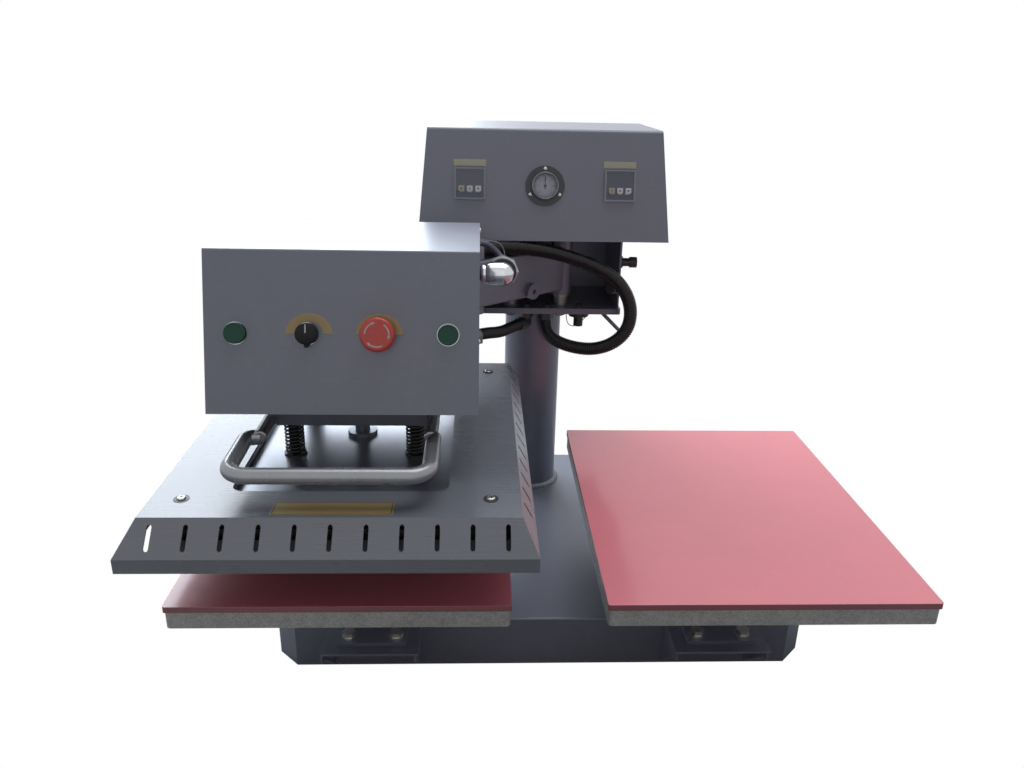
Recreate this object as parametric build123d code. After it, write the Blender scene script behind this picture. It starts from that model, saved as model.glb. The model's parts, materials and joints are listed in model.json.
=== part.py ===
from build123d import *
import math
import os

os.makedirs("parts", exist_ok=True)

# Dual station heat press, in millimetres.
# The origin is the middle of the base's footprint, at the floor.
# X runs to the right, Y to the back and Z up. The heating head is at rest over the left station.

# Clearances
running_gap = 0.06      # radial gap of a pin or rod in its bush
screw_gap = 0.05        # radial gap of a thread drawn plain
hole_gap = 0.5          # radial gap of a screw or nut hole
seat_gap = 0.1          # gap between faces that turn on each other
open_pivot_gap = 0.4    # radial gap of the one pivot that closes the linkage

# Stations and lower platens
station_x = 256.4       # from the middle to each station
platen_t = 22.0
platen_corner = 6.0
pad_w = 400.0
pad_d = 500.0
pad_t = 8.0
pad_overhang = 1.0      # of a pad past each edge of its platen
platen_w = pad_w - 2 * pad_overhang
platen_d = pad_d - 2 * pad_overhang
work_h = 233.0          # top of the pads over the floor
platen_y = -195.5       # middle of the platens
pad_bottom = work_h - pad_t
platen_bottom = pad_bottom - platen_t

# Base
base_w = 770.0
base_d = 539.0
base_h = 78.0
base_corner = 30.0
base_wall = 3.0
base_lip = 46.0
foot_h = 5.0
foot_r = 17.0
foot_x = 300.0
foot_inset = 25.0
foot_round = 1.5
foot_bore_r = 3.3       # hole for a bolt through each foot and the base
base_top = foot_h + base_h

# Column and the plate on top of it
column_y = 176.5
column_r = 49.0
column_wall = 5.0
column_h = 347.0
weld_r = 7.0
plate_w = 287.0
plate_front = 94.5
plate_rear = 262.0
plate_t = 9.5
plate_bottom = base_top + column_h
plate_top = plate_bottom + plate_t

# Station brackets and pedestals
bracket_x = 238.0
bracket_w = 127.0
bracket_t = 3.0
bracket_reach = 78.0
bracket_back = 230.0
gusset_tip = 17.0
gusset_round = 9.0
bolt_r = 5.0
bolt_head_af = 16.0
bolt_head_h = 6.4
washer_r = 10.0
washer_t = 2.0
nut_h = 8.0
foot_plate_w = 94.0
foot_plate_d = 272.0
foot_plate_t = 5.0
foot_bolt_x = 31.7
foot_bolt_edge = 16.0
riser_w = 80.0
riser_d = 170.0
riser_wall = 4.0
head_plate_w = 180.0
head_plate_d = 280.0
head_plate_t = 6.0
platen_screw_r = 4.0
platen_screw_edge = 20.0
platen_screw_depth = 12.0

# Swing linkage: two equal arms between the plate and the head
arm_length = 333.0
pivot_x = 43.0
pivot_y = 131.5
arm_w = 30.0
arm_wall = 4.0
hub_r = 18.0
bush_r = 12.0
bush_len = 30.0
bush_flange_r = 15.5
bush_flange_t = 2.0
pin_r = 8.0
pin_thread_r = 6.0
pin_head_r = 12.0
pin_head_h = 6.0
pin_nut_af = 19.0
pin_nut_h = 10.0
collar_h = 15.5
collar_r = 14.0
thrust_t = 2.0
hub_h = 96.0
arm_rise = 9.0          # bottom of the arm bar over the bottom of its hubs
arm_h = 74.0
upper_plate_t = 8.0

hub_bottom = plate_top + collar_h + bush_flange_t + seat_gap
hub_top = hub_bottom + hub_h
bush_top = hub_top + bush_flange_t
upper_plate_bottom = bush_top + seat_gap + thrust_t
upper_plate_top = upper_plate_bottom + upper_plate_t
swing_angle = math.asin(station_x / arm_length)
swing_sin = math.sin(swing_angle)
swing_cos = math.cos(swing_angle)
head_pivot_y = pivot_y - arm_length * swing_cos
arm_bottom = hub_bottom + arm_rise
arm_top = arm_bottom + arm_h

# Stops of the swing
stop_s = 84.0           # along the arm from its pivot
stop_disc_r = 13.0
stop_disc_t = 8.0
stop_z = arm_bottom + 11.0
bumper_r = 10.0
bumper_t = 12.0
bumper_gap = 0.3
bumper_block_w = 26.0
bumper_block_h = 26.0

# Neck between the plate and the control box
neck_w = 280.0
neck_front = 99.5
neck_rear = 258.0
neck_wall = 3.0

# Control box
control_x = 4.0
control_front = 34.5
control_rear = 277.0
control_bottom_w = 394.0
control_top_w = 364.0
control_h = 166.0
control_slope = 35.0    # how far the panel leans back
control_wall = 2.0
control_bend = 6.0      # outer radius of the fold over the panel
inlet_x = -90.0
inlet_up = 45.0
inlet_r = 8.0
inlet_bore = 5.0
inlet_flange_r = 12.0
inlet_flange_t = 6.0
inlet_length = 20.0
air_x = 90.0
air_r = 6.5
air_bore = 3.5
air_flange_r = 10.0
air_flange_t = 5.0
air_length = 24.0
floor_t = 2.0
dial_up = 84.0
flange_r = 30.5
flange_t = 3.0
gauge_r = 21.5
glass_r = 18.5
gauge_h = 9.0
gauge_body_r = 20.0
gauge_body_d = 30.0
controller_edge = 80.7  # from the panel's lower end to the middle of a controller
controller_x = control_bottom_w / 2 - controller_edge
controller_up = 86.0
controller_w = 48.0
controller_bezel = 6.0
controller_body_w = 45.0
controller_body_d = 72.0
face_depth = 2.0
key_w = 7.0
key_h = 4.5
key_pitch = 12.0
key_drop = 11.0
key_proud = 1.6
key_hole_gap = 0.3

# Heating head
head_w = 316.0
head_h = 183.0
head_front = -354.8     # lower edge of the front, which leans back by head_slope at its top
head_slope = 50.8
head_shift = 2.0        # the box sits a little to the right of the slab's middle
head_rear = -106.0
head_bottom = 433.5
head_wall = 2.0
press_y = -197.5
slab_w = 189.0
slab_t = 16.0
slab_bottom = 388.0
slab_front = -282.5
slab_rear = -108.0
side_wall_t = 6.0
rear_wall_t = 10.0
frame_top_t = 8.0
wing_t = 6.0
clevis_w = 140.0
clevis_t = 8.0
clevis_lip = 19.0
control_z = 524.0
button_x = 122.0
selector_x = -40.0
estop_x = 42.0
ring_r = 13.2
ring_h = 1.5
button_r = 11.6
button_proud = 5.0
button_hole_r = 12.0
estop_r = 20.0
estop_h = 13.0
estop_neck_r = 9.0
estop_stand = 8.0
block_w = 28.0          # switch blocks behind the head's front
block_h = 34.0
block_back = 40.0
block_neck = 10.0

# Press stroke parts
platen_gap = 60.0       # heater platen over the pad, at rest
heater_t = 28.0
board_t = 10.0
board_inset = 6.0
clamp_inset = 10.0
clamp_w = pad_w - 2 * clamp_inset
clamp_d = pad_d - 2 * clamp_inset
clamp_t = 10.0
guide_x = 78.0
guide_y = 66.0
guide_r = 7.0
guide_bush_r = 10.0
guide_bush_stand = 6.0
guide_len = 160.0
guide_thread_r = 5.0
spring_wire = 3.0
spring_mean_r = 11.2
spring_turns = 9
spring_gap = 0.02       # between a spring's end and what it stands on
spring_seat_r = 14.5
spring_seat_t = 2.0
piston_rod_r = 10.0
rod_flange_r = 20.0
rod_flange_h = 5.0
barrel_r = 40.0
barrel_bore = 35.0
barrel_h = 116.0
cap_w = 84.0
cap_h = 20.0
piston_h = 15.0
piston_top_gap = 20.0   # from the top of the piston to the cylinder's upper cap
stroke = 58.0

# Heater cover
cover_over_w = 27.5     # past the heater platen, at the flange and at the top
cover_over_d = 38.0
cover_top_over_w = 9.5
cover_top_over_d = 6.0
cover_w = pad_w + 2 * cover_over_w
cover_d = pad_d + 2 * cover_over_d
cover_top_w = pad_w + 2 * cover_top_over_w
cover_top_d = pad_d + 2 * cover_top_over_d
cover_slope_h = 33.0
cover_flange_h = 17.0
cover_wall = 1.6
cover_bottom = 303.0
pocket_w = 251.0
pocket_d = 392.0
pocket_corner = 14.0
pocket_rim = 8.0
slot_w = 5.4
slot_h = 22.0
slots_front = 11
slots_side = 12
slot_margin = 16.25     # from the ends of the cover's top edge to the end slots
slot_pitch = (cover_top_w - 2 * slot_margin) / (slots_front - 1)
cover_screw_in_w = 15.4
cover_screw_in_d = 26.0
cover_screw_x = clamp_w / 2 - cover_screw_in_w
cover_screw_y = clamp_d / 2 - cover_screw_in_d
cover_screw_r = 2.5
standoff_r = 6.0

# Handle
handle_r = 9.4
handle_half_w = 112.5
handle_shift = 7.1      # to the left, so its right leg runs straight into the bar there
handle_front = -425.5
handle_front_z = 390.0
handle_back = -330.0
handle_back_z = 393.0
handle_inner_x = 101.0
handle_bend = 24.0
handle_end_bend = 11.0
bar_r = 8.5
bar_front = -337.0
bar_back = -190.0
bar_bite = 1.0

heater_bottom = work_h + platen_gap
heater_top = heater_bottom + heater_t
board_top = heater_top + board_t
clamp_top = board_top + clamp_t
slab_top = slab_bottom + slab_t
head_top = head_bottom + head_h
cover_top = cover_bottom + cover_flange_h + cover_slope_h
head_x = -station_x
box_x = head_x + head_shift
head_lean = math.atan2(head_slope, head_h)


def block(x0, x1, y0, y1, z0, z1):
    """A box between two opposite corners."""
    return Pos((x0 + x1) / 2, (y0 + y1) / 2, (z0 + z1) / 2) * Box(x1 - x0, y1 - y0, z1 - z0)


def arm_point(s):
    """The point at s along the right arm from its pivot, seen from above."""
    return (pivot_x - s * swing_sin, pivot_y - s * swing_cos)


def rod(x, y, z0, z1, r):
    """An upright cylinder."""
    return Pos(x, y, (z0 + z1) / 2) * Cylinder(r, z1 - z0)


def tube(x, y, z0, z1, r_out, r_in):
    """An upright ring."""
    return rod(x, y, z0, z1, r_out) - rod(x, y, z0 - 1, z1 + 1, r_in)


def hexagon(x, y, z0, z1, af, bore=0.0):
    """An upright hexagon of a given size across its flats."""
    body = extrude(Plane.XY.offset(z0) * Pos(x, y) * RegularPolygon(af / 2, 6, major_radius=False), z1 - z0)
    if bore > 0:
        body = body - rod(x, y, z0 - 1, z1 + 1, bore)
    return body


def slab(x, y, w, d, z0, z1, corner=0.0):
    """A plate with rounded upright corners."""
    outline = Rectangle(w, d) if corner <= 0 else RectangleRounded(w, d, corner)
    return extrude(Plane.XY.offset(z0) * Pos(x, y) * outline, z1 - z0)


def save(name, *pieces):
    """One file per node: one solid, or a group of separate ones."""
    solids = [s for piece in pieces for s in piece.solids()]
    shape = solids[0] if len(solids) == 1 else Compound(children=solids)
    export_step(shape, f"parts/{name}.step")
    return solids


def local(plane, x0, x1, y0, y1, z0, z1):
    """A box in the axes of a plane."""
    return plane * block(x0, x1, y0, y1, z0, z1)


def disc(plane, x, y, z0, z1, r):
    """A cylinder square to a plane."""
    return plane * rod(x, y, z0, z1, r)


# Base, feet, column
def base_outline(inset):
    sketch = Rectangle(base_w - 2 * inset, base_d - 2 * inset)
    return chamfer(sketch.vertices(), base_corner - inset * 0.586)


pedestal_bolt_y = [platen_y - foot_plate_d / 2 + foot_bolt_edge, platen_y + foot_plate_d / 2 - foot_bolt_edge]
pedestal_bolts = [
    (side * bracket_x + dx, y) for side in (-1, 1) for dx in (-foot_bolt_x, foot_bolt_x) for y in pedestal_bolt_y
]
rear_bolts = [(x, y) for x, y in pedestal_bolts if y > platen_y]

base = extrude(Plane.XY.offset(foot_h) * base_outline(0), base_h)
base = fillet(base.edges().group_by(Axis.Z)[-1], 2.5)
base = base - extrude(Plane.XY.offset(foot_h + base_wall) * base_outline(base_wall), base_h - 2 * base_wall)
base = base - block(
    -base_w / 2 + base_lip, base_w / 2 - base_lip, -base_d / 2 + base_lip, base_d / 2 - base_lip,
    foot_h - 1, foot_h + base_wall + 1,
)
for x, y in rear_bolts:
    base = base - rod(x, y, base_top - base_wall - 1, base_top + 1, bolt_r + hole_gap)
foot_spots = [(sx * foot_x, sy * (base_d / 2 - foot_inset)) for sx in (-1, 1) for sy in (-1, 1)]
for x, y in foot_spots:
    base = base - rod(x, y, foot_h - 1, foot_h + base_wall + 1, foot_bore_r)
save("base_box", base)


def rubber_foot(x, y):
    """A foot with a round lower rim and a bolt hole."""
    body = rod(x, y, 0, foot_h, foot_r)
    body = fillet(body.edges().group_by(Axis.Z)[0], foot_round)
    return body - rod(x, y, -1, foot_h + 1, foot_bore_r)


save("rubber_feet", *[rubber_foot(x, y) for x, y in foot_spots])

column = tube(0, column_y, base_top, plate_bottom, column_r, column_r - column_wall)
weld = Pos(0, column_y, base_top + weld_r / 2) * Cone(column_r + weld_r, column_r + 0.8, weld_r)
save("column", column + (weld - rod(0, column_y, base_top - 1, base_top + weld_r + 1, column_r - column_wall / 2)))


# Station brackets: a folded sheet with tapered gussets in front of the base
bracket_front = -base_d / 2 - bracket_reach
bracket_top = base_top + bracket_t


def bracket(side):
    x = side * bracket_x
    sheet = block(
        x - bracket_w / 2, x + bracket_w / 2, bracket_front, bracket_front + bracket_reach + bracket_back,
        base_top, bracket_top,
    )
    profile = Polygon(
        (bracket_front, bracket_top), (-base_d / 2, bracket_top), (-base_d / 2, foot_h + 2),
        (bracket_front + gusset_round * 1.2, bracket_top - gusset_tip), (bracket_front, bracket_top - gusset_tip),
        align=None,
    )
    tip = profile.vertices().sort_by_distance((bracket_front, bracket_top - gusset_tip, 0))[0]
    profile = fillet(tip, gusset_round * 0.55)
    ear = extrude(Plane.YZ * profile, bracket_t)
    body = sheet + Pos(x - bracket_w / 2, 0, 0) * ear + Pos(x + bracket_w / 2 - bracket_t, 0, 0) * ear
    for bx, by in pedestal_bolts:
        if bx * side > 0:
            body = body - rod(bx, by, base_top - 1, bracket_top + 1, bolt_r + hole_gap)
    return body


save("station_brackets", bracket(-1), bracket(1))


# Pedestals: a foot plate, a box riser and a head plate
def head_plate_screws(side):
    x = side * bracket_x
    dx = head_plate_w / 2 - platen_screw_edge
    dy = head_plate_d / 2 - platen_screw_edge
    return [(x + sx * dx, platen_y + sy * dy) for sx in (-1, 1) for sy in (-1, 1)]


def pedestal(side):
    x = side * bracket_x
    z0 = bracket_top
    z1 = z0 + foot_plate_t
    z2 = platen_bottom - head_plate_t
    body = slab(x, platen_y, foot_plate_w, foot_plate_d, z0, z1, 4)
    riser = slab(x, platen_y, riser_w, riser_d, z1, z2, 8)
    riser = riser - slab(x, platen_y, riser_w - 2 * riser_wall, riser_d - 2 * riser_wall, z1, z2, 4)
    body = body + riser + slab(x, platen_y, head_plate_w, head_plate_d, z2, platen_bottom, 10)
    for bx, by in pedestal_bolts:
        if bx * side > 0:
            body = body - rod(bx, by, z0 - 1, z1 + 1, bolt_r + hole_gap)
    for sx, sy in head_plate_screws(side):
        body = body - rod(sx, sy, z2 - 1, platen_bottom + 1, platen_screw_r + hole_gap)
    return body


save("platen_pedestals", pedestal(-1), pedestal(1))

foot_top = bracket_top + foot_plate_t
bolts = []
washers = []
nuts = []
for x, y in pedestal_bolts:
    nut_top = base_top - base_wall if y > platen_y else base_top
    head = hexagon(x, y, foot_top + washer_t, foot_top + washer_t + bolt_head_h, bolt_head_af)
    bolts.append(head + rod(x, y, nut_top - nut_h - 4, foot_top + washer_t, bolt_r))
    washers.append(tube(x, y, foot_top, foot_top + washer_t, washer_r, bolt_r + hole_gap))
    nuts.append(hexagon(x, y, nut_top - nut_h, nut_top, bolt_head_af, bolt_r + screw_gap))

screws = []
for side in (-1, 1):
    for x, y in head_plate_screws(side):
        z = platen_bottom - head_plate_t
        screws.append(
            rod(x, y, z - 6, z, platen_screw_r + 3) + rod(x, y, z, platen_bottom + platen_screw_depth, platen_screw_r)
        )
save("pedestal_fasteners", *bolts, *washers, *nuts, *screws)

lower_platens = []
pads = []
for side in (-1, 1):
    x = side * station_x
    plate = slab(x, platen_y, platen_w, platen_d, platen_bottom, pad_bottom, platen_corner)
    for sx, sy in head_plate_screws(side):
        plate = plate - rod(sx, sy, platen_bottom - 1, platen_bottom + platen_screw_depth + 1, platen_screw_r + screw_gap)
    lower_platens.append(plate)
    pads.append(slab(x, platen_y, pad_w, pad_d, pad_bottom, work_h, 3))
save("lower_platens", *lower_platens)
save("silicone_pads", *pads)

# Plate on the column, with the holes of the pins, conduit glands and cable gland
conduit_r = 11.0
feeder_r = 9.5
gland_h = 12.0
clip_a = 190.0          # along the arm to its first conduit clip
clip_b = 240.0
clip_len = 14.0
clip_wall = 2.0
clip_post_r = 5.0
boss_r = 14.0
boss_h = 11.0
run_z = arm_top + 15.0
feeder_z = arm_bottom - 49.0
conduit_gland = (17.0, 110.5)
feeder_gland = (-17.0, 110.5)
feeder_nut_h = 8.0
feeder_elbow_l = 22.0
wire_gland = (74.0, 114.0)
wire_gland_r = 8.0
wire_gland_flange_r = 17.0
wire_gland_flange_t = 7.0
wire_gland_h = 25.0
stay_r = 3.2
stay_length = 48.0
stay_x = 112.0
stay_y = 116.0
rib_pitch = 5.0
rib_depth = 1.4
conduit_wall = 1.6
plate = slab(0, (plate_front + plate_rear) / 2, plate_w, plate_rear - plate_front, plate_bottom, plate_top, 5)
for sx in (-1, 1):
    plate = plate - rod(sx * pivot_x, pivot_y, plate_bottom - 1, plate_top + 1, pin_thread_r + hole_gap)
for (gx, gy), r in ((conduit_gland, conduit_r - 3), (feeder_gland, feeder_r - 3), (wire_gland, wire_gland_r - 2)):
    plate = plate - rod(gx, gy, plate_bottom - 1, plate_top + 1, r)
stay_dir = Vector(29, -20, -26).normalized()
stay_plane = Plane(origin=Vector(stay_x, stay_y, plate_bottom), z_dir=stay_dir)
stay = stay_plane * rod(0, 0, -2 * stay_r, stay_length, stay_r)
stay = fillet(stay.edges().sort_by(Axis.Z)[0], stay_r * 0.6)
stay = stay - slab(stay_x, stay_y, stay_length, stay_length, plate_top - plate_t / 2, plate_top + plate_t)
save("top_plate", plate + stay)

# Neck: a folded wall round three sides, the upper pivot plate, and two stop lugs
neck_half = neck_w / 2
wall = block(-neck_half, neck_half, neck_front, neck_rear, plate_top, upper_plate_bottom)
wall = wall - block(
    -neck_half + neck_wall, neck_half - neck_wall, neck_front - 1, neck_rear - neck_wall,
    plate_top - 1, upper_plate_bottom + 1,
)
neck = wall + slab(0, (neck_front + neck_rear) / 2, neck_w, neck_rear - neck_front, upper_plate_bottom, upper_plate_top)
for sx in (-1, 1):
    neck = neck - rod(sx * pivot_x, pivot_y, upper_plate_bottom - 1, upper_plate_top + 1, pin_r + hole_gap)

# Where the right arm's stop disc stands with the head over the right station
stop_dir = (swing_sin, -swing_cos)
stop_out = (swing_cos, swing_sin)
disc_face = arm_w / 2 + stop_disc_t
bumper_at = [
    (pivot_x, pivot_y)[i] + stop_s * stop_dir[i] + (disc_face + bumper_gap) * stop_out[i] for i in (0, 1)
]
bumper_plane = Plane(origin=(bumper_at[0], bumper_at[1], stop_z), x_dir=(stop_dir[0], stop_dir[1], 0),
                     z_dir=(stop_out[0], stop_out[1], 0))
bumper = disc(bumper_plane, 0, 0, 0, bumper_t, bumper_r)
lug_at = [bumper_at[i] + bumper_t * stop_out[i] for i in (0, 1)]
half = bumper_block_w / 2
lug_x = neck_half - neck_wall / 2
near = (lug_at[0] - half * stop_dir[0], lug_at[1] - half * stop_dir[1])
far = (lug_x, lug_at[1] + (lug_x - lug_at[0]) / stop_dir[0] * stop_dir[1])
lug = extrude(
    Plane.XY.offset(stop_z - bumper_block_h / 2) * Polygon(near, far, (lug_x, near[1] + half), align=None),
    bumper_block_h,
)
neck = neck + lug + mirror(lug, about=Plane.YZ)
save("neck", neck)
save("stop_bumpers", bumper, mirror(bumper, about=Plane.YZ))


# Pivot pins with their nuts, collars and washers
def pivot_pin(x, y, seat_z, plate_z):
    """A headed pin with a shoulder at seat_z and a thread down through the plate whose underside is plate_z."""
    pin = rod(x, y, seat_z, upper_plate_top, pin_r) + rod(x, y, upper_plate_top, upper_plate_top + pin_head_h, pin_head_r)
    return pin + rod(x, y, plate_z - pin_nut_h - 2, seat_z, pin_thread_r)


base_pivots = [(-pivot_x, pivot_y), (pivot_x, pivot_y)]
head_pivots = [(head_x - pivot_x, head_pivot_y), (head_x + pivot_x, head_pivot_y)]
collar_top = plate_top + collar_h
clevis_low_top = collar_top - thrust_t
clevis_low = clevis_low_top - clevis_t
base_pins = [pivot_pin(x, y, plate_top, plate_bottom) for x, y in base_pivots]
base_pin_nuts = [
    hexagon(x, y, plate_bottom - pin_nut_h, plate_bottom, pin_nut_af, pin_thread_r + screw_gap) for x, y in base_pivots
]
collars = [tube(x, y, plate_top, collar_top, collar_r, pin_r + running_gap) for x, y in base_pivots]
uppers = [
    tube(x, y, upper_plate_bottom - thrust_t, upper_plate_bottom, collar_r, pin_r + running_gap) for x, y in base_pivots
]
save("base_pivot_pins", *base_pins, *base_pin_nuts, *collars, *uppers)
head_pins = [pivot_pin(x, y, clevis_low_top, clevis_low) for x, y in head_pivots]
head_pin_nuts = [
    hexagon(x, y, clevis_low - pin_nut_h, clevis_low, pin_nut_af, pin_thread_r + screw_gap) for x, y in head_pivots
]
head_washers = [
    tube(x, y, z, z + thrust_t, collar_r, pin_r + running_gap)
    for x, y in head_pivots for z in (clevis_low_top, upper_plate_bottom - thrust_t)
]
save("head_pivot_pins", *head_pins, *head_pin_nuts, *head_washers)

# Swing arms: a box bar between two hubs, drawn along its own X axis and turned to its rest angle
arm_angle = 270 - math.degrees(swing_angle)
arm_local = block(0, arm_length, -arm_w / 2, arm_w / 2, arm_bottom, arm_top)
arm_local = fillet(arm_local.edges().filter_by(Axis.X), 4)
inside = block(hub_r + 8, arm_length - hub_r - 8, -arm_w / 2 + arm_wall, arm_w / 2 - arm_wall,
               arm_bottom + arm_wall, arm_top - arm_wall)
arm_local = arm_local - inside
for x in (0, arm_length):
    arm_local = arm_local + rod(x, 0, hub_bottom, hub_top, hub_r)
for x in (0, arm_length):
    arm_local = arm_local - rod(x, 0, hub_bottom - 1, hub_top + 1, bush_r)


def bushes(x, bore):
    """The lower and the upper flanged bush of one hub."""
    low = tube(x, 0, hub_bottom, hub_bottom + bush_len, bush_r, bore)
    low = low + tube(x, 0, hub_bottom - bush_flange_t, hub_bottom, bush_flange_r, bore)
    top = tube(x, 0, hub_top - bush_len, hub_top, bush_r, bore)
    top = top + tube(x, 0, hub_top, hub_top + bush_flange_t, bush_flange_r, bore)
    return [low, top]


def stop_disc(sign):
    face = Plane(origin=(stop_s, sign * arm_w / 2, stop_z), x_dir=(1, 0, 0), z_dir=(0, sign, 0))
    body = disc(face, 0, 0, -arm_wall / 2, stop_disc_t, stop_disc_r)
    socket = disc(face, 0, 0, stop_disc_t - 4, stop_disc_t + 1, 4)
    return body - socket


def saddle(x0, z, r, below):
    """A cradle on the arm that holds a conduit, with its post."""
    y = r + clip_wall
    body = block(x0 - clip_len / 2, x0 + clip_len / 2, -y, y, z - y, z)
    body = body + Pos(x0, 0, z) * Rot(0, 90, 0) * Cylinder(y, clip_len)
    if below:
        body = body & block(x0 - 50, x0 + 50, -y, y, z - y, z + y)
        body = body + rod(x0, 0, z + r, arm_bottom + arm_wall / 2, clip_post_r)
        body = body + rod(x0, 0, arm_bottom - boss_h, arm_bottom + arm_wall / 2, boss_r)
    else:
        body = body + block(x0 - clip_len / 2, x0 + clip_len / 2, -arm_w / 2 + 4, arm_w / 2 - 4, arm_top - arm_wall / 2, z - r / 2)
    return body - Pos(x0, 0, z) * Rot(0, 90, 0) * Cylinder(r, clip_len + 2)


clip_set = saddle(clip_a, run_z, conduit_r, False) + saddle(clip_b, run_z, conduit_r, False)
clip_set = clip_set + saddle(clip_a, feeder_z, feeder_r, True)


for name, x, sign, bore in (("right", pivot_x, 1, pin_r + running_gap), ("left", -pivot_x, -1, pin_r + open_pivot_gap)):
    place = Pos(x, pivot_y, 0) * Rot(0, 0, arm_angle)
    save(f"{name}_swing_arm", place * (arm_local + stop_disc(sign) + (clip_set if sign > 0 else [])))
    sleeves = bushes(0, pin_r + running_gap) + bushes(arm_length, bore)
    save(f"{name}_arm_bushes", *[place * s for s in sleeves])

# Control box: a folded shell, wider at its foot, with its panel leaning back
control_bottom = upper_plate_top
control_top = control_bottom + control_h


def control_body(inset, z0, z1, rear):
    """The box between two heights, drawn in by a wall."""
    def section(z):
        share = (z - control_bottom) / control_h
        width = control_bottom_w + (control_top_w - control_bottom_w) * share - 2 * inset
        front = control_front + control_slope * share + inset
        return Plane.XY.offset(z) * Pos(control_x, (front + rear) / 2) * Rectangle(width, rear - front)
    return loft([section(z0), section(z1)], ruled=True)


lean = math.atan2(control_slope, control_h)
panel = Plane(origin=(control_x, control_front, control_bottom), x_dir=(1, 0, 0),
              z_dir=(0, -math.cos(lean), math.sin(lean)))
shell = control_body(0, control_bottom, control_top, control_rear)
shell = fillet(shell.edges().filter_by(Axis.X).group_by(Axis.Z)[-1].sort_by(Axis.Y)[0], control_bend)
hollow = control_body(control_wall, control_bottom - 1, control_top - control_wall, control_rear + 1)
hollow = fillet(hollow.edges().filter_by(Axis.X).group_by(Axis.Z)[-1].sort_by(Axis.Y)[0], control_bend - control_wall)
shell = shell - hollow
panel_cut = []
for sx in (-1, 1):
    half = controller_body_w / 2 + key_hole_gap
    cx = sx * controller_x
    panel_cut.append(local(panel, cx - half, cx + half, controller_up - half, controller_up + half, -12, 12))
panel_cut.append(disc(panel, 0, dial_up, -12, 12, gauge_body_r + hole_gap))
for cut in panel_cut:
    shell = shell - cut
save("control_box", shell)

floor = slab(control_x, (control_front + control_rear) / 2 + 3, control_bottom_w - 2 * control_wall - 2,
             control_rear - control_front - 10, control_bottom, control_bottom + floor_t)
for x, y in base_pivots:
    floor = floor - rod(x, y, control_bottom - 1, control_bottom + floor_t + 1, pin_head_r + 1)

inlet_z = control_bottom + inlet_up
rear_panel = control_body(control_wall + 0.5, control_bottom + floor_t + 0.5, control_top - control_wall - 0.5, control_rear)
rear_panel = rear_panel & block(-300, 300, control_rear - control_wall, control_rear + 1, 0, 900)
back = Plane(origin=(0, control_rear, 0), x_dir=(-1, 0, 0), z_dir=(0, 1, 0))
for x, r in ((inlet_x, inlet_r), (air_x, air_r)):
    rear_panel = rear_panel - disc(back, -x, inlet_z, -5, 5, r + hole_gap)
save("control_box_chassis", floor + rear_panel + block(
    control_x - control_bottom_w / 2 + 3, control_x + control_bottom_w / 2 - 3, control_rear - 12, control_rear,
    control_bottom, control_bottom + floor_t) + block(
    control_x - control_bottom_w / 2 + 8, control_x + control_bottom_w / 2 - 8, control_rear - control_wall, control_rear,
    control_bottom, control_bottom + 4))


def inlet_piece(x, r, bore, flange_r, flange_t, length):
    """A round fitting in the rear panel: a neck inside, a flange and a spigot outside, and its bore."""
    body = disc(back, -x, inlet_z, -flange_t - control_wall, 0, r) + disc(back, -x, inlet_z, 0, flange_t, flange_r)
    body = body + disc(back, -x, inlet_z, flange_t, length, (r + flange_r) / 2 - 1)
    return body - disc(back, -x, inlet_z, -flange_t - control_wall - 1, length + 1, bore)


inlet = inlet_piece(inlet_x, inlet_r, inlet_bore, inlet_flange_r, inlet_flange_t, inlet_length)
air = inlet_piece(air_x, air_r, air_bore, air_flange_r, air_flange_t, air_length)
save("rear_inlets", inlet, air)


# The two controllers, each with three keys and a label strip over it
def key_spots(sx):
    return [(sx * controller_x + k * key_pitch, controller_up - key_drop) for k in (-1, 0, 1)]


for sx, name in ((-1, "temperature"), (1, "timer")):
    cx = sx * controller_x
    h = controller_w / 2
    b = controller_body_w / 2
    unit = local(panel, cx - h, cx + h, controller_up - h, controller_up + h, 0, controller_bezel)
    unit = unit + local(panel, cx - b, cx + b, controller_up - b, controller_up + b, -controller_body_d, 0)
    face = h - 2.5
    unit = unit - local(panel, cx - face, cx + face, controller_up - face, controller_up + face,
                        controller_bezel - face_depth, controller_bezel + 1)
    for kx, ky in key_spots(sx):
        unit = unit - local(panel, kx - key_w / 2 - key_hole_gap, kx + key_w / 2 + key_hole_gap,
                            ky - key_h / 2 - key_hole_gap, ky + key_h / 2 + key_hole_gap,
                            -2, controller_bezel)
    save(f"{name}_controller", unit)
    for index, (kx, ky) in enumerate(key_spots(sx)):
        key = local(panel, kx - key_w / 2, kx + key_w / 2, ky - key_h / 2, ky + key_h / 2,
                    -0.4, controller_bezel - face_depth + key_proud)
        save(f"{name}_key_{index + 1}", key)

# Pressure gauge
flange = disc(panel, 0, dial_up, 0, flange_t, flange_r)
case = disc(panel, 0, dial_up, -gauge_body_d, gauge_h, gauge_body_r)
case = case + disc(panel, 0, dial_up, flange_t, gauge_h, gauge_r)
case = case + flange - disc(panel, 0, dial_up, flange_t + 1.3, gauge_h + 1, glass_r)
save("gauge_case", case)
save("gauge_lens", disc(panel, 0, dial_up, gauge_h - 1.8, gauge_h - 0.6, glass_r))
needle = disc(panel, 0, dial_up, flange_t + 1.5, flange_t + 3.2, 2.2)
needle = needle + local(panel, -0.7, 0.7, dial_up - 5, dial_up + 14, flange_t + 1.9, flange_t + 2.7)
save("gauge_needle", needle)

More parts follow.
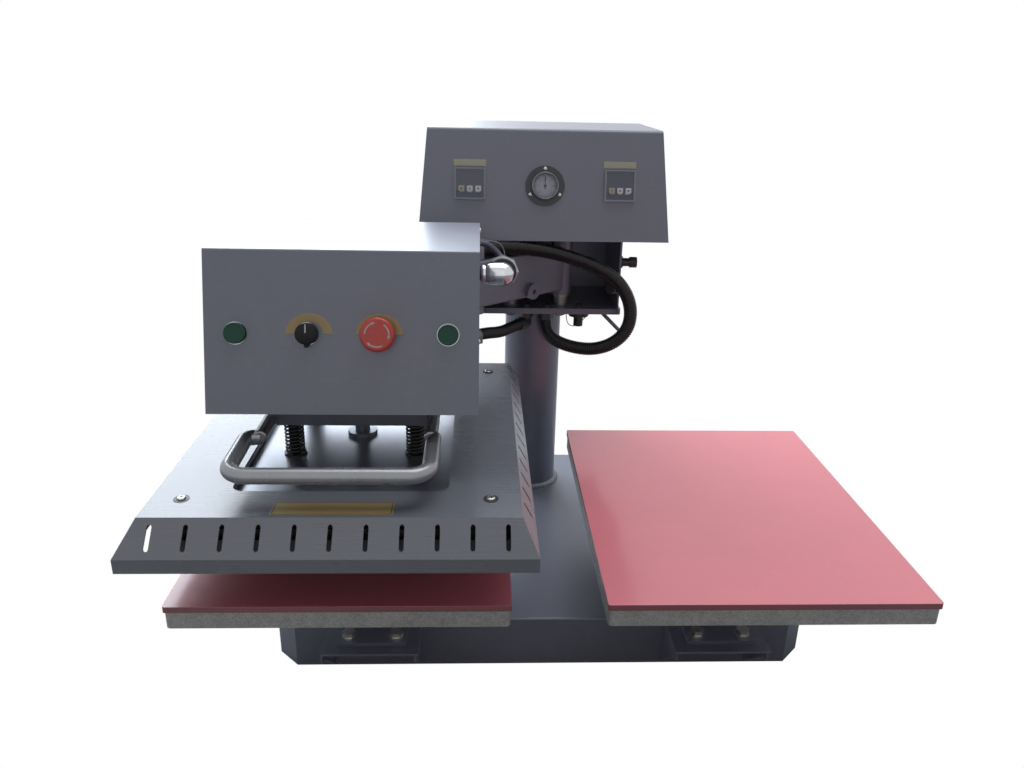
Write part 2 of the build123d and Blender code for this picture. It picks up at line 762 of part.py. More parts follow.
# Pressure regulator on the right wall of the neck
reg_y = 116.0
reg_z = 516.0
side_right = Plane(origin=(neck_half, 0, 0), x_dir=(0, 1, 0), z_dir=(1, 0, 0))
reg_body = disc(side_right, reg_y, reg_z, 0, 4, 10) + disc(side_right, reg_y, reg_z, 4, 16, 7)
save("regulator_body", reg_body)
knob = disc(side_right, reg_y, reg_z, 16.2, 28, 9)
for k in range(10):
    a = math.radians(36 * k)
    knob = knob - disc(side_right, reg_y + 9.6 * math.cos(a), reg_z + 9.6 * math.sin(a), 16, 29, 1.3)
save("regulator_knob", knob)

# Glands under the plate
gx, gy = conduit_gland
conduit_nut = hexagon(gx, gy, plate_bottom - gland_h, plate_bottom, 2 * conduit_r + 1.5)
conduit_nut = conduit_nut + rod(gx, gy, plate_bottom, plate_top + 4, conduit_r - 3 - screw_gap)
conduit_nut = conduit_nut - rod(gx, gy, plate_bottom - gland_h - 1, plate_top + 5, conduit_r - 5)
gx, gy = feeder_gland
feeder_out_z = plate_bottom - feeder_nut_h - feeder_r - 1.5
feeder_out = Vector(*arm_point(168), 0) - Vector(gx, gy, 0)
feeder_out = feeder_out.normalized()
elbow_axis = Plane(origin=(gx, gy, feeder_out_z), z_dir=feeder_out)
feeder_elbow = hexagon(gx, gy, plate_bottom - feeder_nut_h, plate_bottom, 2 * feeder_r + 3)
feeder_elbow = feeder_elbow + rod(gx, gy, plate_bottom, plate_top + 4, feeder_r - 3 - screw_gap)
feeder_elbow = feeder_elbow + rod(gx, gy, feeder_out_z, plate_bottom - feeder_nut_h, feeder_r)
feeder_elbow = feeder_elbow + Pos(gx, gy, feeder_out_z) * Sphere(feeder_r + 1)
feeder_elbow = feeder_elbow + elbow_axis * rod(0, 0, 0, feeder_elbow_l, feeder_r + 1.2)
feeder_elbow = feeder_elbow - elbow_axis * rod(0, 0, 0, feeder_elbow_l + 1, feeder_r - 4)
feeder_elbow = feeder_elbow - rod(gx, gy, feeder_out_z, plate_top + 5, feeder_r - 4.5)
gx, gy = wire_gland
wire = rod(gx, gy, plate_bottom - wire_gland_flange_t, plate_bottom, wire_gland_flange_r)
wire = wire + rod(gx, gy, plate_bottom - wire_gland_h, plate_bottom, wire_gland_r)
wire = wire + rod(gx, gy, plate_bottom, plate_top + 3, wire_gland_r - 2 - screw_gap)
save("plate_glands", conduit_nut, feeder_elbow, wire)

# Head frame: slab, side walls, rear wall with the two clevis plates, top plate and side wings
fx0 = head_x - slab_w / 2
fx1 = head_x + slab_w / 2
frame_top = head_top - head_wall
rear_face = head_rear - head_wall
bar_x = slab_w / 2 + bar_r - bar_bite
bar_z = slab_bottom + slab_t / 2
frame = block(fx0, fx1, slab_front, rear_face, slab_bottom, slab_top)
frame = frame + block(fx0, fx0 + side_wall_t, slab_front, rear_face, slab_top, frame_top)
frame = frame + block(fx1 - side_wall_t, fx1, slab_front, rear_face, slab_top, frame_top)
frame = frame + block(fx0, fx1, rear_face - rear_wall_t, rear_face, slab_top, frame_top)
inner_half = head_w / 2 - head_wall
frame = frame + block(box_x - inner_half, box_x + inner_half, slab_front, rear_face, frame_top - frame_top_t, frame_top)
wing_z = head_bottom + 4
for sx in (-1, 1):
    xa = box_x + sx * inner_half
    xb = head_x + sx * (slab_w / 2 - 1)
    frame = frame + block(min(xa, xb), max(xa, xb), slab_front, rear_face, wing_z, wing_z + wing_t)
clevis_rear = head_pivot_y + clevis_lip
for z in (clevis_low, upper_plate_bottom):
    frame = frame + slab(head_x, (rear_face - 1 + clevis_rear) / 2, clevis_w, clevis_rear - rear_face + 1, z, z + clevis_t, 3)
for x, y in head_pivots:
    frame = frame - rod(x, y, clevis_low - 1, clevis_low_top + 1, pin_thread_r + hole_gap)
    frame = frame - rod(x, y, upper_plate_bottom - 1, upper_plate_top + 1, pin_r + hole_gap)
guide_spots = [(head_x + sx * guide_x, press_y + sy * guide_y) for sx in (-1, 1) for sy in (-1, 1)]
for x, y in guide_spots:
    frame = frame - rod(x, y, slab_bottom - 1, slab_top + 1, guide_bush_r)
frame = frame - rod(head_x, press_y, slab_bottom - 1, slab_top + 1, piston_rod_r + 1)
for sx in (-1, 1):
    groove = Pos(head_x + sx * bar_x, (bar_front + bar_back) / 2, bar_z) * Rot(90, 0, 0) * Cylinder(bar_r, bar_back - bar_front + 2)
    frame = frame - groove
tail_x = head_x + 58.4
conduit_tail_z = upper_plate_top + pin_head_h + conduit_r + 4
feeder_tail_z = clevis_low - pin_nut_h - feeder_r - 4
for z, r in ((conduit_tail_z, conduit_r), (feeder_tail_z, feeder_r)):
    frame = frame - Pos(tail_x, rear_face, z) * Rot(90, 0, 0) * Cylinder(r - 3, 60)
save("head_frame", frame)

# Head box: a folded shell with the control holes in its front, and its rear cover
hx0 = box_x - head_w / 2
hx1 = box_x + head_w / 2


def head_body(inset, low, high, rear):
    """The head box's outline moved in by a wall, between two heights, drawn from its side."""
    def front_y(z):
        return head_front + inset / math.cos(head_lean) + (z - head_bottom) * math.tan(head_lean)
    side = Polyline((front_y(low), low), (front_y(high), high), (rear, high), (rear, low), close=True)
    face = Plane(origin=(hx0 + inset, 0, 0), x_dir=(0, 1, 0), z_dir=(1, 0, 0)) * make_face(side)
    return extrude(face, head_w - 2 * inset)


box = head_body(0, head_bottom, head_top, head_rear)
box = fillet(box.edges().filter_by(Axis.X).group_by(Axis.Z)[-1], 3)
box = box - head_body(head_wall, head_bottom - 1, head_top - head_wall, head_rear + 1)
control_y = head_front + (control_z - head_bottom) * math.tan(head_lean)
front = Plane(origin=(box_x, control_y, control_z), x_dir=(1, 0, 0),
              z_dir=(0, -math.cos(head_lean), math.sin(head_lean)))
control_spots = [(-button_x, button_hole_r), (button_x, button_hole_r), (selector_x, button_hole_r), (estop_x, button_hole_r)]
for x, r in control_spots:
    box = box - disc(front, x, 0, -6, 6, r)
elbow_y = -122.0
elbow_z = 549.0
box = box - Pos(hx1, elbow_y, elbow_z) * Rot(0, 90, 0) * Cylinder(8, 12)
save("head_box", box)
cover_gap = 0.5
rear_cover = block(hx0 + head_wall + cover_gap, hx1 - head_wall - cover_gap, rear_face, head_rear,
                   head_bottom + cover_gap, head_top - head_wall - cover_gap)
rear_cover = rear_cover - block(head_x - clevis_w / 2 - 2, head_x + clevis_w / 2 + 2, rear_face - 1, head_rear + 1,
                                clevis_low - 2, upper_plate_top + 2)
for z, r in ((conduit_tail_z, conduit_r), (feeder_tail_z, feeder_r)):
    rear_cover = rear_cover - Pos(tail_x, rear_face, z) * Rot(90, 0, 0) * Cylinder(r + 2.5, 12)
save("head_rear_cover", rear_cover)

# Front controls of the head
button_rings = []
for sx in (-1, 1):
    ring = disc(front, sx * button_x, 0, 0, ring_h, ring_r) - disc(front, sx * button_x, 0, -1, ring_h + 1, button_r + running_gap * 5)
    button_rings.append(ring)
for sx, name in ((-1, "left"), (1, "right")):
    cap = disc(front, sx * button_x, 0, -8, ring_h + button_proud, button_r)
    save(f"{name}_start_button", fillet(cap.edges().group_by(Axis.Y)[0], 1))
selector_ring = disc(front, selector_x, 0, 0, ring_h, ring_r) - disc(front, selector_x, 0, -1, ring_h + 1, button_r + running_gap * 5)
selector = disc(front, selector_x, 0, -8, ring_h + 1, button_r)
selector = selector + local(front, selector_x - 3.2, selector_x + 3.2, -9.6, 9.6, ring_h, ring_h + 10)
save("selector_knob", selector)
estop_collar = disc(front, estop_x, 0, 0, estop_stand - 3, ring_r) - disc(front, estop_x, 0, -1, estop_stand, estop_neck_r + 0.3)
save("switch_bezels", *button_rings, selector_ring, estop_collar)
mushroom = disc(front, estop_x, 0, -8, estop_stand, estop_neck_r) + fillet(
    disc(front, estop_x, 0, estop_stand, estop_stand + estop_h, estop_r).edges().group_by(Axis.Y)[0], 4
)
save("estop_button", mushroom)
blocks = []
for x, r in control_spots:
    neck_low = -head_wall - block_neck
    unit = local(front, x - block_w / 2, x + block_w / 2, -block_h / 2, block_h / 2, -block_back, neck_low)
    unit = unit + disc(front, x, 0, neck_low, -head_wall, block_w / 2) - disc(front, x, 0, neck_low - 1, -head_wall + 1, r)
    blocks.append(unit)
save("switch_blocks", *blocks)

# Cylinder, piston and rod
rod_top = slab_top + cap_h + barrel_h - piston_top_gap
barrel_low = slab_top + cap_h
low_cap = slab(head_x, press_y, cap_w, cap_w, slab_top, barrel_low, 6)
top_cap = slab(head_x, press_y, cap_w, cap_w, barrel_low + barrel_h, barrel_low + barrel_h + cap_h, 6)
barrel = tube(head_x, press_y, barrel_low, barrel_low + barrel_h, barrel_r, barrel_bore)
barrel = low_cap + barrel + top_cap - rod(head_x, press_y, slab_top - 1, barrel_low + 1, piston_rod_r + running_gap)
save("air_cylinder", barrel)
piston = rod(head_x, press_y, clamp_top + rod_flange_h, rod_top, piston_rod_r)
piston = piston + rod(head_x, press_y, rod_top - piston_h, rod_top, barrel_bore - running_gap)
piston = piston + rod(head_x, press_y, clamp_top, clamp_top + rod_flange_h, rod_flange_r)
save("piston_rod", piston)
save("guide_bushes", *[
    tube(x, y, slab_bottom, slab_top + guide_bush_stand, guide_bush_r, guide_r + running_gap)
    for x, y in guide_spots
])
save("guide_rods", *[
    rod(x, y, clamp_top, clamp_top + guide_len, guide_r) + rod(x, y, board_top, clamp_top, guide_thread_r)
    for x, y in guide_spots
], *[
    tube(x, y, clamp_top, clamp_top + spring_seat_t, spring_seat_r, guide_r + screw_gap)
    for x, y in guide_spots
])

# Heater: platen, insulating board and clamp plate
save("heater_platen", slab(head_x, platen_y, pad_w, pad_d, heater_bottom, heater_top, platen_corner))
save("insulating_board", slab(head_x, platen_y, pad_w - 2 * board_inset, pad_d - 2 * board_inset, heater_top, board_top, 4))
clamp = slab(head_x, platen_y, clamp_w, clamp_d, board_top, clamp_top, 8)
for x, y in guide_spots:
    clamp = clamp - rod(x, y, board_top - 1, clamp_top + 1, guide_thread_r + screw_gap)
screw_spots = [(head_x + sx * cover_screw_x, platen_y + sy * cover_screw_y) for sx in (-1, 1) for sy in (-1, 1)]
for x, y in screw_spots:
    clamp = clamp - rod(x, y, board_top + 2, clamp_top + 1, cover_screw_r + screw_gap)
save("clamp_plate", clamp)


# Heater cover: sloped louvred sides over an upright flange, with a rimmed opening in its top
def cover_body(inset, drop):
    low = cover_bottom + cover_flange_h
    top = cover_top - drop
    skirt = slab(head_x, platen_y, cover_w - 2 * inset, cover_d - 2 * inset, cover_bottom - (1 if inset else 0), low)
    slope = loft([
        Plane.XY.offset(low) * Pos(head_x, platen_y) * Rectangle(cover_w - 2 * inset, cover_d - 2 * inset),
        Plane.XY.offset(top) * Pos(head_x, platen_y) * Rectangle(cover_top_w - 2 * inset, cover_top_d - 2 * inset),
    ], ruled=True)
    return skirt + slope


cover = cover_body(0, 0) - cover_body(cover_wall, cover_wall)
slot_mid = cover_bottom + cover_flange_h + cover_slope_h * 0.5
front_slots = []
for k in range(slots_front):
    x = head_x + (k - (slots_front - 1) / 2) * slot_pitch
    cutter = Plane(origin=(x, platen_y, slot_mid), x_dir=(1, 0, 0), z_dir=(0, -1, 0)) * SlotOverall(slot_h, slot_w, rotation=90)
    front_slots.append(extrude(cutter, cover_d, both=True))
side_slots = []
for k in range(slots_side):
    y = platen_y + (k - (slots_side - 1) / 2) * slot_pitch
    cutter = Plane(origin=(head_x, y, slot_mid), x_dir=(0, 1, 0), z_dir=(1, 0, 0)) * SlotOverall(slot_h, slot_w, rotation=90)
    side_slots.append(extrude(cutter, cover_w, both=True))
cover = cover - front_slots - side_slots
pocket_top = cover_top
rim_low = cover_top - cover_wall - pocket_rim
cover = cover - slab(head_x, platen_y, pocket_w, pocket_d, rim_low, pocket_top + 1, pocket_corner)
rim = slab(head_x, platen_y, pocket_w + 2 * cover_wall, pocket_d + 2 * cover_wall, rim_low, cover_top - cover_wall,
           pocket_corner + cover_wall)
rim = rim - slab(head_x, platen_y, pocket_w, pocket_d, rim_low - 1, pocket_top + 1, pocket_corner)
cover = cover + rim
for x, y in screw_spots:
    cover = cover - rod(x, y, cover_top - cover_wall - 1, cover_top + 1, cover_screw_r + hole_gap)
save("heater_cover", cover)
standoffs = [
    tube(x, y, clamp_top, cover_top - cover_wall, standoff_r, cover_screw_r + hole_gap) for x, y in screw_spots
]
save("cover_screws", *standoffs, *[
    rod(x, y, clamp_top - 6, cover_top, cover_screw_r) + fillet(
        rod(x, y, cover_top, cover_top + 2.6, 5).edges().group_by(Axis.Z)[-1], 1.6)
    for x, y in screw_spots
])


# Springs round the guide rods: one wire each, on arcs that join smoothly
def biarc(p0, t0, p1, t1):
    """Two arcs that leave p0 along t0 and reach p1 along t1."""
    v = p1 - p0
    t = t0 + t1
    k = 2 * (1 - t0.dot(t1))
    d = (-v.dot(t) + math.sqrt(v.dot(t) ** 2 + k * v.dot(v))) / k
    joint = (p0 + t0 * d + p1 - t1 * d) * 0.5
    middle = (p1 - t1 * d) - (p0 + t0 * d)
    return [TangentArc(p0, joint, tangent=t0), TangentArc(joint, p1, tangent=middle.normalized())]


def spring_wire_path(z0, z1):
    """Half turns of a helix from one seat to the other."""
    low = z0 + spring_wire / 2
    rise = (z1 - z0 - spring_wire) / (spring_turns * 2)
    rise_t = rise / math.pi
    length = math.hypot(spring_mean_r, rise_t)
    points = []
    for k in range(2 * spring_turns + 1):
        a = math.pi * k
        at = Vector(spring_mean_r * math.cos(a), spring_mean_r * math.sin(a), low + rise * k)
        along = Vector(-spring_mean_r * math.sin(a) / length, spring_mean_r * math.cos(a) / length, rise_t / length)
        points.append((at, along))
    edges = []
    for (pa, ta), (pb, tb) in zip(points[:-1], points[1:]):
        edges = edges + biarc(pa, ta, pb, tb)
    return Wire(edges)


def least_gap(path, thickness):
    """Least gap of a wound wire to itself, over stretches at least half a turn apart."""
    count = 400
    spots = [path.position_at(k / count) for k in range(count + 1)]
    step = path.length / count
    skip = int(math.pi * spring_mean_r * 0.8 / step)
    gap = min(
        (spots[i] - spots[j]).length for i in range(0, count + 1, 2) for j in range(i + skip, count + 1, 2)
    )
    return gap - thickness


path = spring_wire_path(clamp_top + spring_seat_t + spring_gap, slab_bottom - spring_gap)
print("spring: least gap to itself", round(least_gap(path, spring_wire), 2), "mm")
section = Plane(origin=path.position_at(0), z_dir=path.tangent_at(0)) * Circle(spring_wire / 2)
spring = sweep(section, path)
print("spring: volume over section times length", round(
    spring.volume / (math.pi * spring_wire ** 2 / 4 * path.length), 4))
save("return_springs", *[Pos(x, y, 0) * spring for x, y in guide_spots])

# Handle: one bent tube welded to two bars along the slab
handle_left = head_x - handle_shift - handle_half_w
handle_right = head_x - handle_shift + handle_half_w
handle_points = [
    (head_x - handle_inner_x, handle_back, handle_back_z),
    (handle_left, handle_back, handle_back_z),
    (handle_left, handle_front, handle_front_z),
    (handle_right, handle_front, handle_front_z),
    (handle_right, handle_back, handle_back_z),
]
handle_path = FilletPolyline(*handle_points, radius=[handle_end_bend, handle_bend, handle_bend])
grip = sweep(Plane(origin=handle_path @ 0, z_dir=handle_path % 0) * Circle(handle_r), handle_path)
handle = grip
for sx in (-1, 1):
    bar = Pos(head_x + sx * bar_x, (bar_front + bar_back) / 2, bar_z) * Rot(90, 0, 0) * Cylinder(bar_r, bar_back - bar_front)
    bar = fillet(bar.edges().group_by(Axis.Y)[0], 3)
    handle = handle + bar
save("handle", handle)

# Elbow fitting on the right side of the head box
elbow = Pos(hx1 + 1.5, elbow_y, elbow_z) * Rot(0, 90, 0) * Cylinder(11, 3)
elbow = elbow + Pos(hx1 - 3, elbow_y, elbow_z) * Rot(0, 90, 0) * Cylinder(7.5, 12)
elbow = elbow + Pos(hx1 + 11, elbow_y, elbow_z) * Rot(0, 90, 0) * Cylinder(13, 17)
elbow = elbow + Pos(hx1 + 19.5, elbow_y, elbow_z) * Sphere(13)
out = Plane(origin=(hx1 + 19.5, elbow_y, elbow_z), z_dir=(0.66, 0.75, 0))
elbow = elbow + out * rod(0, 0, 0, 18, 13)
elbow_nut = extrude(out.offset(18) * RegularPolygon(21, 8, major_radius=False), 10)
elbow_nut = elbow_nut - out * rod(0, 0, 17, 29, 9)
save("air_elbow", elbow, elbow_nut)


# Conduits
def rib_ring(line, s, r, steady):
    """A circle square to a line at a distance along it, whose seam keeps to one side of a steady direction."""
    axis = line.tangent_at(s, position_mode=PositionMode.LENGTH)
    spot = line.position_at(s, position_mode=PositionMode.LENGTH)
    return Plane(origin=spot, x_dir=steady.cross(axis), z_dir=axis) * Circle(r)


def conduit_on(points, r, steady):
    """A corrugated tube: four circles to a rib, ruled into one wall, with a smooth bore through it."""
    line = FilletPolyline(*points, radius=corner_radii(points))
    ribs = round(line.length / rib_pitch)
    pitch = line.length / ribs
    low = r - rib_depth
    bore_r = low - conduit_wall
    rings = []
    for k in range(ribs):
        for share, out in ((0.0, low), (0.2, r), (0.65, r), (0.85, low)):
            rings.append(rib_ring(line, (k + share) * pitch, out, steady))
    rings.append(rib_ring(line, line.length, low, steady))
    bore = sweep(Plane(origin=line @ 0, z_dir=line % 0) * Circle(bore_r), line)
    hose = loft(rings, ruled=True) - bore
    flank = (low * low + low * r + r * r) / 3
    section = math.pi * (0.4 * flank + 0.45 * r * r + 0.15 * low * low - bore_r * bore_r)
    share = hose.volume / (section * line.length)
    print("conduit: length", round(line.length, 1), "ribs", ribs, "valid", hose.is_valid, "volume share", round(share, 4))
    return hose


def corner_radii(points):
    """At each corner, 0.45 of the shorter run over the tangent of half the turn."""
    radii = []
    spots = [Vector(*p) for p in points]
    for a, b, c in zip(spots[:-2], spots[1:-1], spots[2:]):
        turn = math.radians((b - a).get_angle(c - b))
        radii.append(0.45 * min((b - a).length, (c - b).length) / math.tan(turn / 2))
    return radii


arm_dir = Vector(-swing_sin, -swing_cos, 0)
arm_side = Vector(swing_cos, -swing_sin, 0)
right_pivot = Vector(pivot_x, pivot_y, 0)


def on_arm(s, side, z):
    """A point at s along the right arm from its pivot, and to its front by side."""
    spot = right_pivot + arm_dir * s + arm_side * side
    return (spot.X, spot.Y, z)


gx, gy = conduit_gland
loop_points = [
    (gx, gy, plate_bottom - gland_h), (gx, gy, 404), (22.5, 107.5, 390.5), (37, 100, 379.5), (62, 87, 374),
    (92, 73, 374.5), (118, 62, 384), (138, 55, 400), (150, 52, 420), (153, 51, 442), (149, 50, 464), (139, 49, 484),
    (124, 47, 502), (104, 45, 516), (76, 44, 529), (40, 42, 541), (2, 40, 549.5), (-34, 37, 553.3), (-64, 32, 554.6),
    on_arm(166, 0, run_z), on_arm(clip_a, 0, run_z),
]
save("conduit_loop", conduit_on(loop_points, conduit_r, Vector(0.2, 0.98, 0)))
tail_y = head_rear + gland_h
tail_points = [
    on_arm(clip_a, 0, run_z), on_arm(clip_b + 18, 0, run_z), on_arm(276, 0, 562), on_arm(295, 0, 577),
    (tail_x + 6, head_pivot_y + 16, 584), (tail_x, head_pivot_y + 3, conduit_tail_z), (tail_x, tail_y, conduit_tail_z),
]
save("conduit_tail", conduit_on(tail_points, conduit_r, Vector(0, 0, 1)))


def from_feeder(s, z):
    """A point at s from the axis of the elbow gland, along its outlet."""
    spot = Vector(*feeder_gland, 0) + feeder_out * s
    return (spot.X, spot.Y, z)


feeder_points = [
    from_feeder(feeder_elbow_l, feeder_out_z), from_feeder(feeder_elbow_l + 16, feeder_out_z),
    from_feeder(feeder_elbow_l + 48, feeder_out_z - 2), on_arm(168, 0, feeder_z), on_arm(clip_a, 0, feeder_z),
]
save("feeder_loop", conduit_on(feeder_points, feeder_r, Vector(0, 0, 1)))
feeder_tail_points = [
    on_arm(clip_a, 0, feeder_z), on_arm(240, 0, feeder_z), on_arm(290, 0, feeder_tail_z),
    (tail_x, head_pivot_y + 6, feeder_tail_z), (tail_x, tail_y, feeder_tail_z),
]
save("feeder_tail", conduit_on(feeder_tail_points, feeder_r, Vector(0, 0, 1)))
rear_plane = Plane(origin=(tail_x, rear_face, 0), x_dir=(-1, 0, 0), z_dir=(0, 1, 0))
head_glands = []
for z, r in ((conduit_tail_z, conduit_r), (feeder_tail_z, feeder_r)):
    collar = disc(rear_plane, 0, z, 0, gland_h + head_wall, r + 2)
    collar = collar + disc(rear_plane, 0, z, -rear_wall_t - 3, 0, r - 3 - screw_gap)
    head_glands.append(collar - disc(rear_plane, 0, z, -rear_wall_t - 4, gland_h + head_wall + 1, r - 5))
save("head_glands", *head_glands)
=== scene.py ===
import json
import math
import bmesh
import bpy
import numpy as np
from mathutils import Matrix, Vector


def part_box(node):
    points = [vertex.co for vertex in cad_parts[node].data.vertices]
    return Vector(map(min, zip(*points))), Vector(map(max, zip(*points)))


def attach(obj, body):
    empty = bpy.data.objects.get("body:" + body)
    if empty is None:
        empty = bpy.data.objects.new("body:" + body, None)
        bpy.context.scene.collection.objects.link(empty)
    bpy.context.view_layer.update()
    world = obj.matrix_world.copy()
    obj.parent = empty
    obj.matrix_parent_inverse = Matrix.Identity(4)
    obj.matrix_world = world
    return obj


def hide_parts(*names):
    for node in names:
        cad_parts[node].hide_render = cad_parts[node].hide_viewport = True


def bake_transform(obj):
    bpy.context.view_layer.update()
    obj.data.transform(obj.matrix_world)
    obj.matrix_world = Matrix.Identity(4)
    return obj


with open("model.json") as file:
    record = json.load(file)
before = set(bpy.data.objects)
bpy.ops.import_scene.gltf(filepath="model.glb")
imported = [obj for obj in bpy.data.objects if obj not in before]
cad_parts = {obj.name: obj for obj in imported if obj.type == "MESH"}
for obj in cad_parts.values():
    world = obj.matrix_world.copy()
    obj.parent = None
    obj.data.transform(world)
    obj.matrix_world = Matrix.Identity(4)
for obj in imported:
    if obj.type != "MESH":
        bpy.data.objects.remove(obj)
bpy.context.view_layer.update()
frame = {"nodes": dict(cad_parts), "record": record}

# Places that the CAD also uses, in metres
STATION_X = 0.2564
ARM = 0.333
PIVOT = np.array((0.043, 0.1315, 0.0))
SWING = math.asin(STATION_X / ARM)
ARM_DIR = np.array((-math.sin(SWING), -math.cos(SWING), 0.0))
ARM_SIDE = np.array((math.cos(SWING), -math.sin(SWING), 0.0))
LEAN = math.atan2(35.0, 166.0)
HEAD_LEAN = math.atan2(50.8, 183.0)
HEAD_X = -STATION_X
RUN_Z = 0.5551
FEEDER_Z = 0.4171
TAIL_X = HEAD_X + 0.0584
TAIL_Z = 0.5862
FEEDER_TAIL_Z = 0.4215


def plane(origin, x_axis, normal):
    """A frame for flat pieces: its columns are the x axis, the y axis, the outward normal and the origin."""
    x = np.array(x_axis, float)
    n = np.array(normal, float)
    return np.array((x, np.cross(n, x), n, np.array(origin, float)))


PANEL = plane((0.004, 0.0345, 0.5652), (1, 0, 0), (0, -math.cos(LEAN), math.sin(LEAN)))
FRONT = plane((HEAD_X + 0.002, -0.3548 + 0.0905 * math.tan(HEAD_LEAN), 0.524), (1, 0, 0),
              (0, -math.cos(HEAD_LEAN), math.sin(HEAD_LEAN)))


def on(frame_plane, points):
    """Points (x, y, out) of a plane, in the object's frame."""
    p = np.asarray(points, float)
    return p[..., 0:1] * frame_plane[0] + p[..., 1:2] * frame_plane[1] + p[..., 2:3] * frame_plane[2] + frame_plane[3]


# Surfaces
def grid_faces(rows, cols, wrap_rows, wrap_cols):
    """Quads between neighbours of a grid of rows by cols points, wrapped round where asked."""
    r = np.arange(rows if wrap_rows else rows - 1)
    c = np.arange(cols if wrap_cols else cols - 1)
    i, j = np.meshgrid(r, c, indexing="ij")
    i2 = (i + 1) % rows
    j2 = (j + 1) % cols
    return np.stack((i * cols + j, i2 * cols + j, i2 * cols + j2, i * cols + j2), -1).reshape(-1, 4)


def sheet_of(points, wrap_rows=False, wrap_cols=False):
    """A grid of points as one surface: (points in a row, faces)."""
    rows, cols = points.shape[:2]
    return points.reshape(-1, 3), [tuple(f) for f in grid_faces(rows, cols, wrap_rows, wrap_cols).tolist()]


def add_piece(name, surfaces, body, material, smooth=True, merge=True):
    """One mesh object made of several surfaces, riding on a body."""
    points = []
    faces = []
    start = 0
    for p, f in surfaces:
        points.append(np.asarray(p, float))
        faces.extend(tuple(int(i) + start for i in face) for face in f)
        start += len(p)
    mesh = bpy.data.meshes.new(name)
    mesh.from_pydata(np.concatenate(points).tolist(), [], faces)
    if merge:
        tidy(mesh)
    mesh.polygons.foreach_set("use_smooth", np.full(len(mesh.polygons), smooth))
    obj = bpy.data.objects.new(name, mesh)
    bpy.context.scene.collection.objects.link(obj)
    mesh.materials.append(material)
    if body:
        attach(obj, body)
    return obj


def tidy(mesh):
    """Joins equal points and turns the faces outwards."""
    bm = bmesh.new()
    bm.from_mesh(mesh)
    bmesh.ops.remove_doubles(bm, verts=bm.verts, dist=1e-6)
    bmesh.ops.recalc_face_normals(bm, faces=bm.faces)
    bm.to_mesh(mesh)
    bm.free()


def turned(where, x, y, profile, sides=48):
    """A profile of (radius, out) turned round the normal at (x, y) of a plane: r cos a, r sin a, out."""
    a = np.linspace(0, 2 * np.pi, sides, endpoint=False)
    prof = np.asarray(profile, float)
    r = prof[:, 0:1]
    p = np.stack((x + r * np.cos(a), y + r * np.sin(a), np.repeat(prof[:, 1:2], sides, 1)), -1)
    return sheet_of(on(where, p), wrap_cols=True)


def ring_sector(where, x, y, r0, r1, a0, a1, low, high, ease=0.0002, steps=48):
    """A flat band between two radii from angle a0 to a1, with eased rims: a closed section swept round (x, y)."""
    a = np.radians(np.linspace(a0, a1, steps))
    section = np.array((
        (r0, low), (r0, high - ease), (r0 + ease, high), (r1 - ease, high), (r1, high - ease), (r1, low),
    ))
    r = section[:, 0][:, None]
    z = np.repeat(section[:, 1][:, None], steps, 1)
    p = on(where, np.stack((x + r * np.cos(a), y + r * np.sin(a), z), -1))
    points, faces = sheet_of(p, wrap_rows=True)
    k = len(section)
    ends = [tuple(i * steps for i in range(k)), tuple(i * steps + steps - 1 for i in reversed(range(k)))]
    return points, faces + ends


def rounded_outline(w, h, r, steps=6):
    """Points round a rectangle whose corners are arcs of radius r."""
    out = []
    for cx, cy, start in ((w / 2 - r, h / 2 - r, 0), (-w / 2 + r, h / 2 - r, 90), (-w / 2 + r, -h / 2 + r, 180),
                          (w / 2 - r, -h / 2 + r, 270)):
        a = np.radians(np.linspace(start, start + 90, steps))
        out.append(np.stack((cx + r * np.cos(a), cy + r * np.sin(a)), -1))
    return np.concatenate(out)


def pad_of(where, x, y, outline, low, high, ease=0.0002):
    """A flat plate over an outline, with an eased top edge: rings at low, high less ease, and high drawn in."""
    o = np.asarray(outline, float)
    inner = o * (1 - ease / np.maximum(np.abs(o).max(0), 1e-6))
    rings = [(o, low), (o, high - ease), (inner, high)]
    p = np.stack([
        np.concatenate((q + (x, y), np.full((len(q), 1), z)), 1) for q, z in rings
    ])
    points, faces = sheet_of(on(where, p), wrap_cols=True)
    n = len(o)
    return points, faces + [tuple(range(n))[::-1], tuple(range(2 * n, 3 * n))]


# Shader groups
def new_group(name, sockets_in, sockets_out):
    """An empty node group with its sockets: (the group, its input node, its output node)."""
    group = bpy.data.node_groups.new(name, "ShaderNodeTree")
    for kind, label, value in sockets_in:
        socket = group.interface.new_socket(name=label, in_out="INPUT", socket_type=kind)
        socket.default_value = value
    for kind, label in sockets_out:
        group.interface.new_socket(name=label, in_out="OUTPUT", socket_type=kind)
    return group, group.nodes.new("NodeGroupInput"), group.nodes.new("NodeGroupOutput")


def node(tree, kind, **values):
    """A new node of a kind, with some of its values set."""
    n = tree.nodes.new(kind)
    for key, value in values.items():
        setattr(n, key, value)
    return n


def noise(tree, vector, scale, detail, rough=0.5):
    """Noise from 0 to 1 over a vector; the scale is a number or a socket."""
    n = node(tree, "ShaderNodeTexNoise")
    n.inputs["Detail"].default_value = detail
    n.inputs["Roughness"].default_value = rough
    if isinstance(scale, (int, float)):
        n.inputs["Scale"].default_value = scale
    else:
        tree.links.new(scale, n.inputs["Scale"])
    tree.links.new(vector, n.inputs["Vector"])
    return n.outputs["Fac"]


def sums(tree, operation, a, b, clamp=False):
    """One step of arithmetic on two numbers or sockets."""
    n = node(tree, "ShaderNodeMath", operation=operation, use_clamp=clamp)
    for socket, value in zip(n.inputs, (a, b)):
        if isinstance(value, (int, float)):
            socket.default_value = value
        else:
            tree.links.new(value, socket)
    return n.outputs[0]


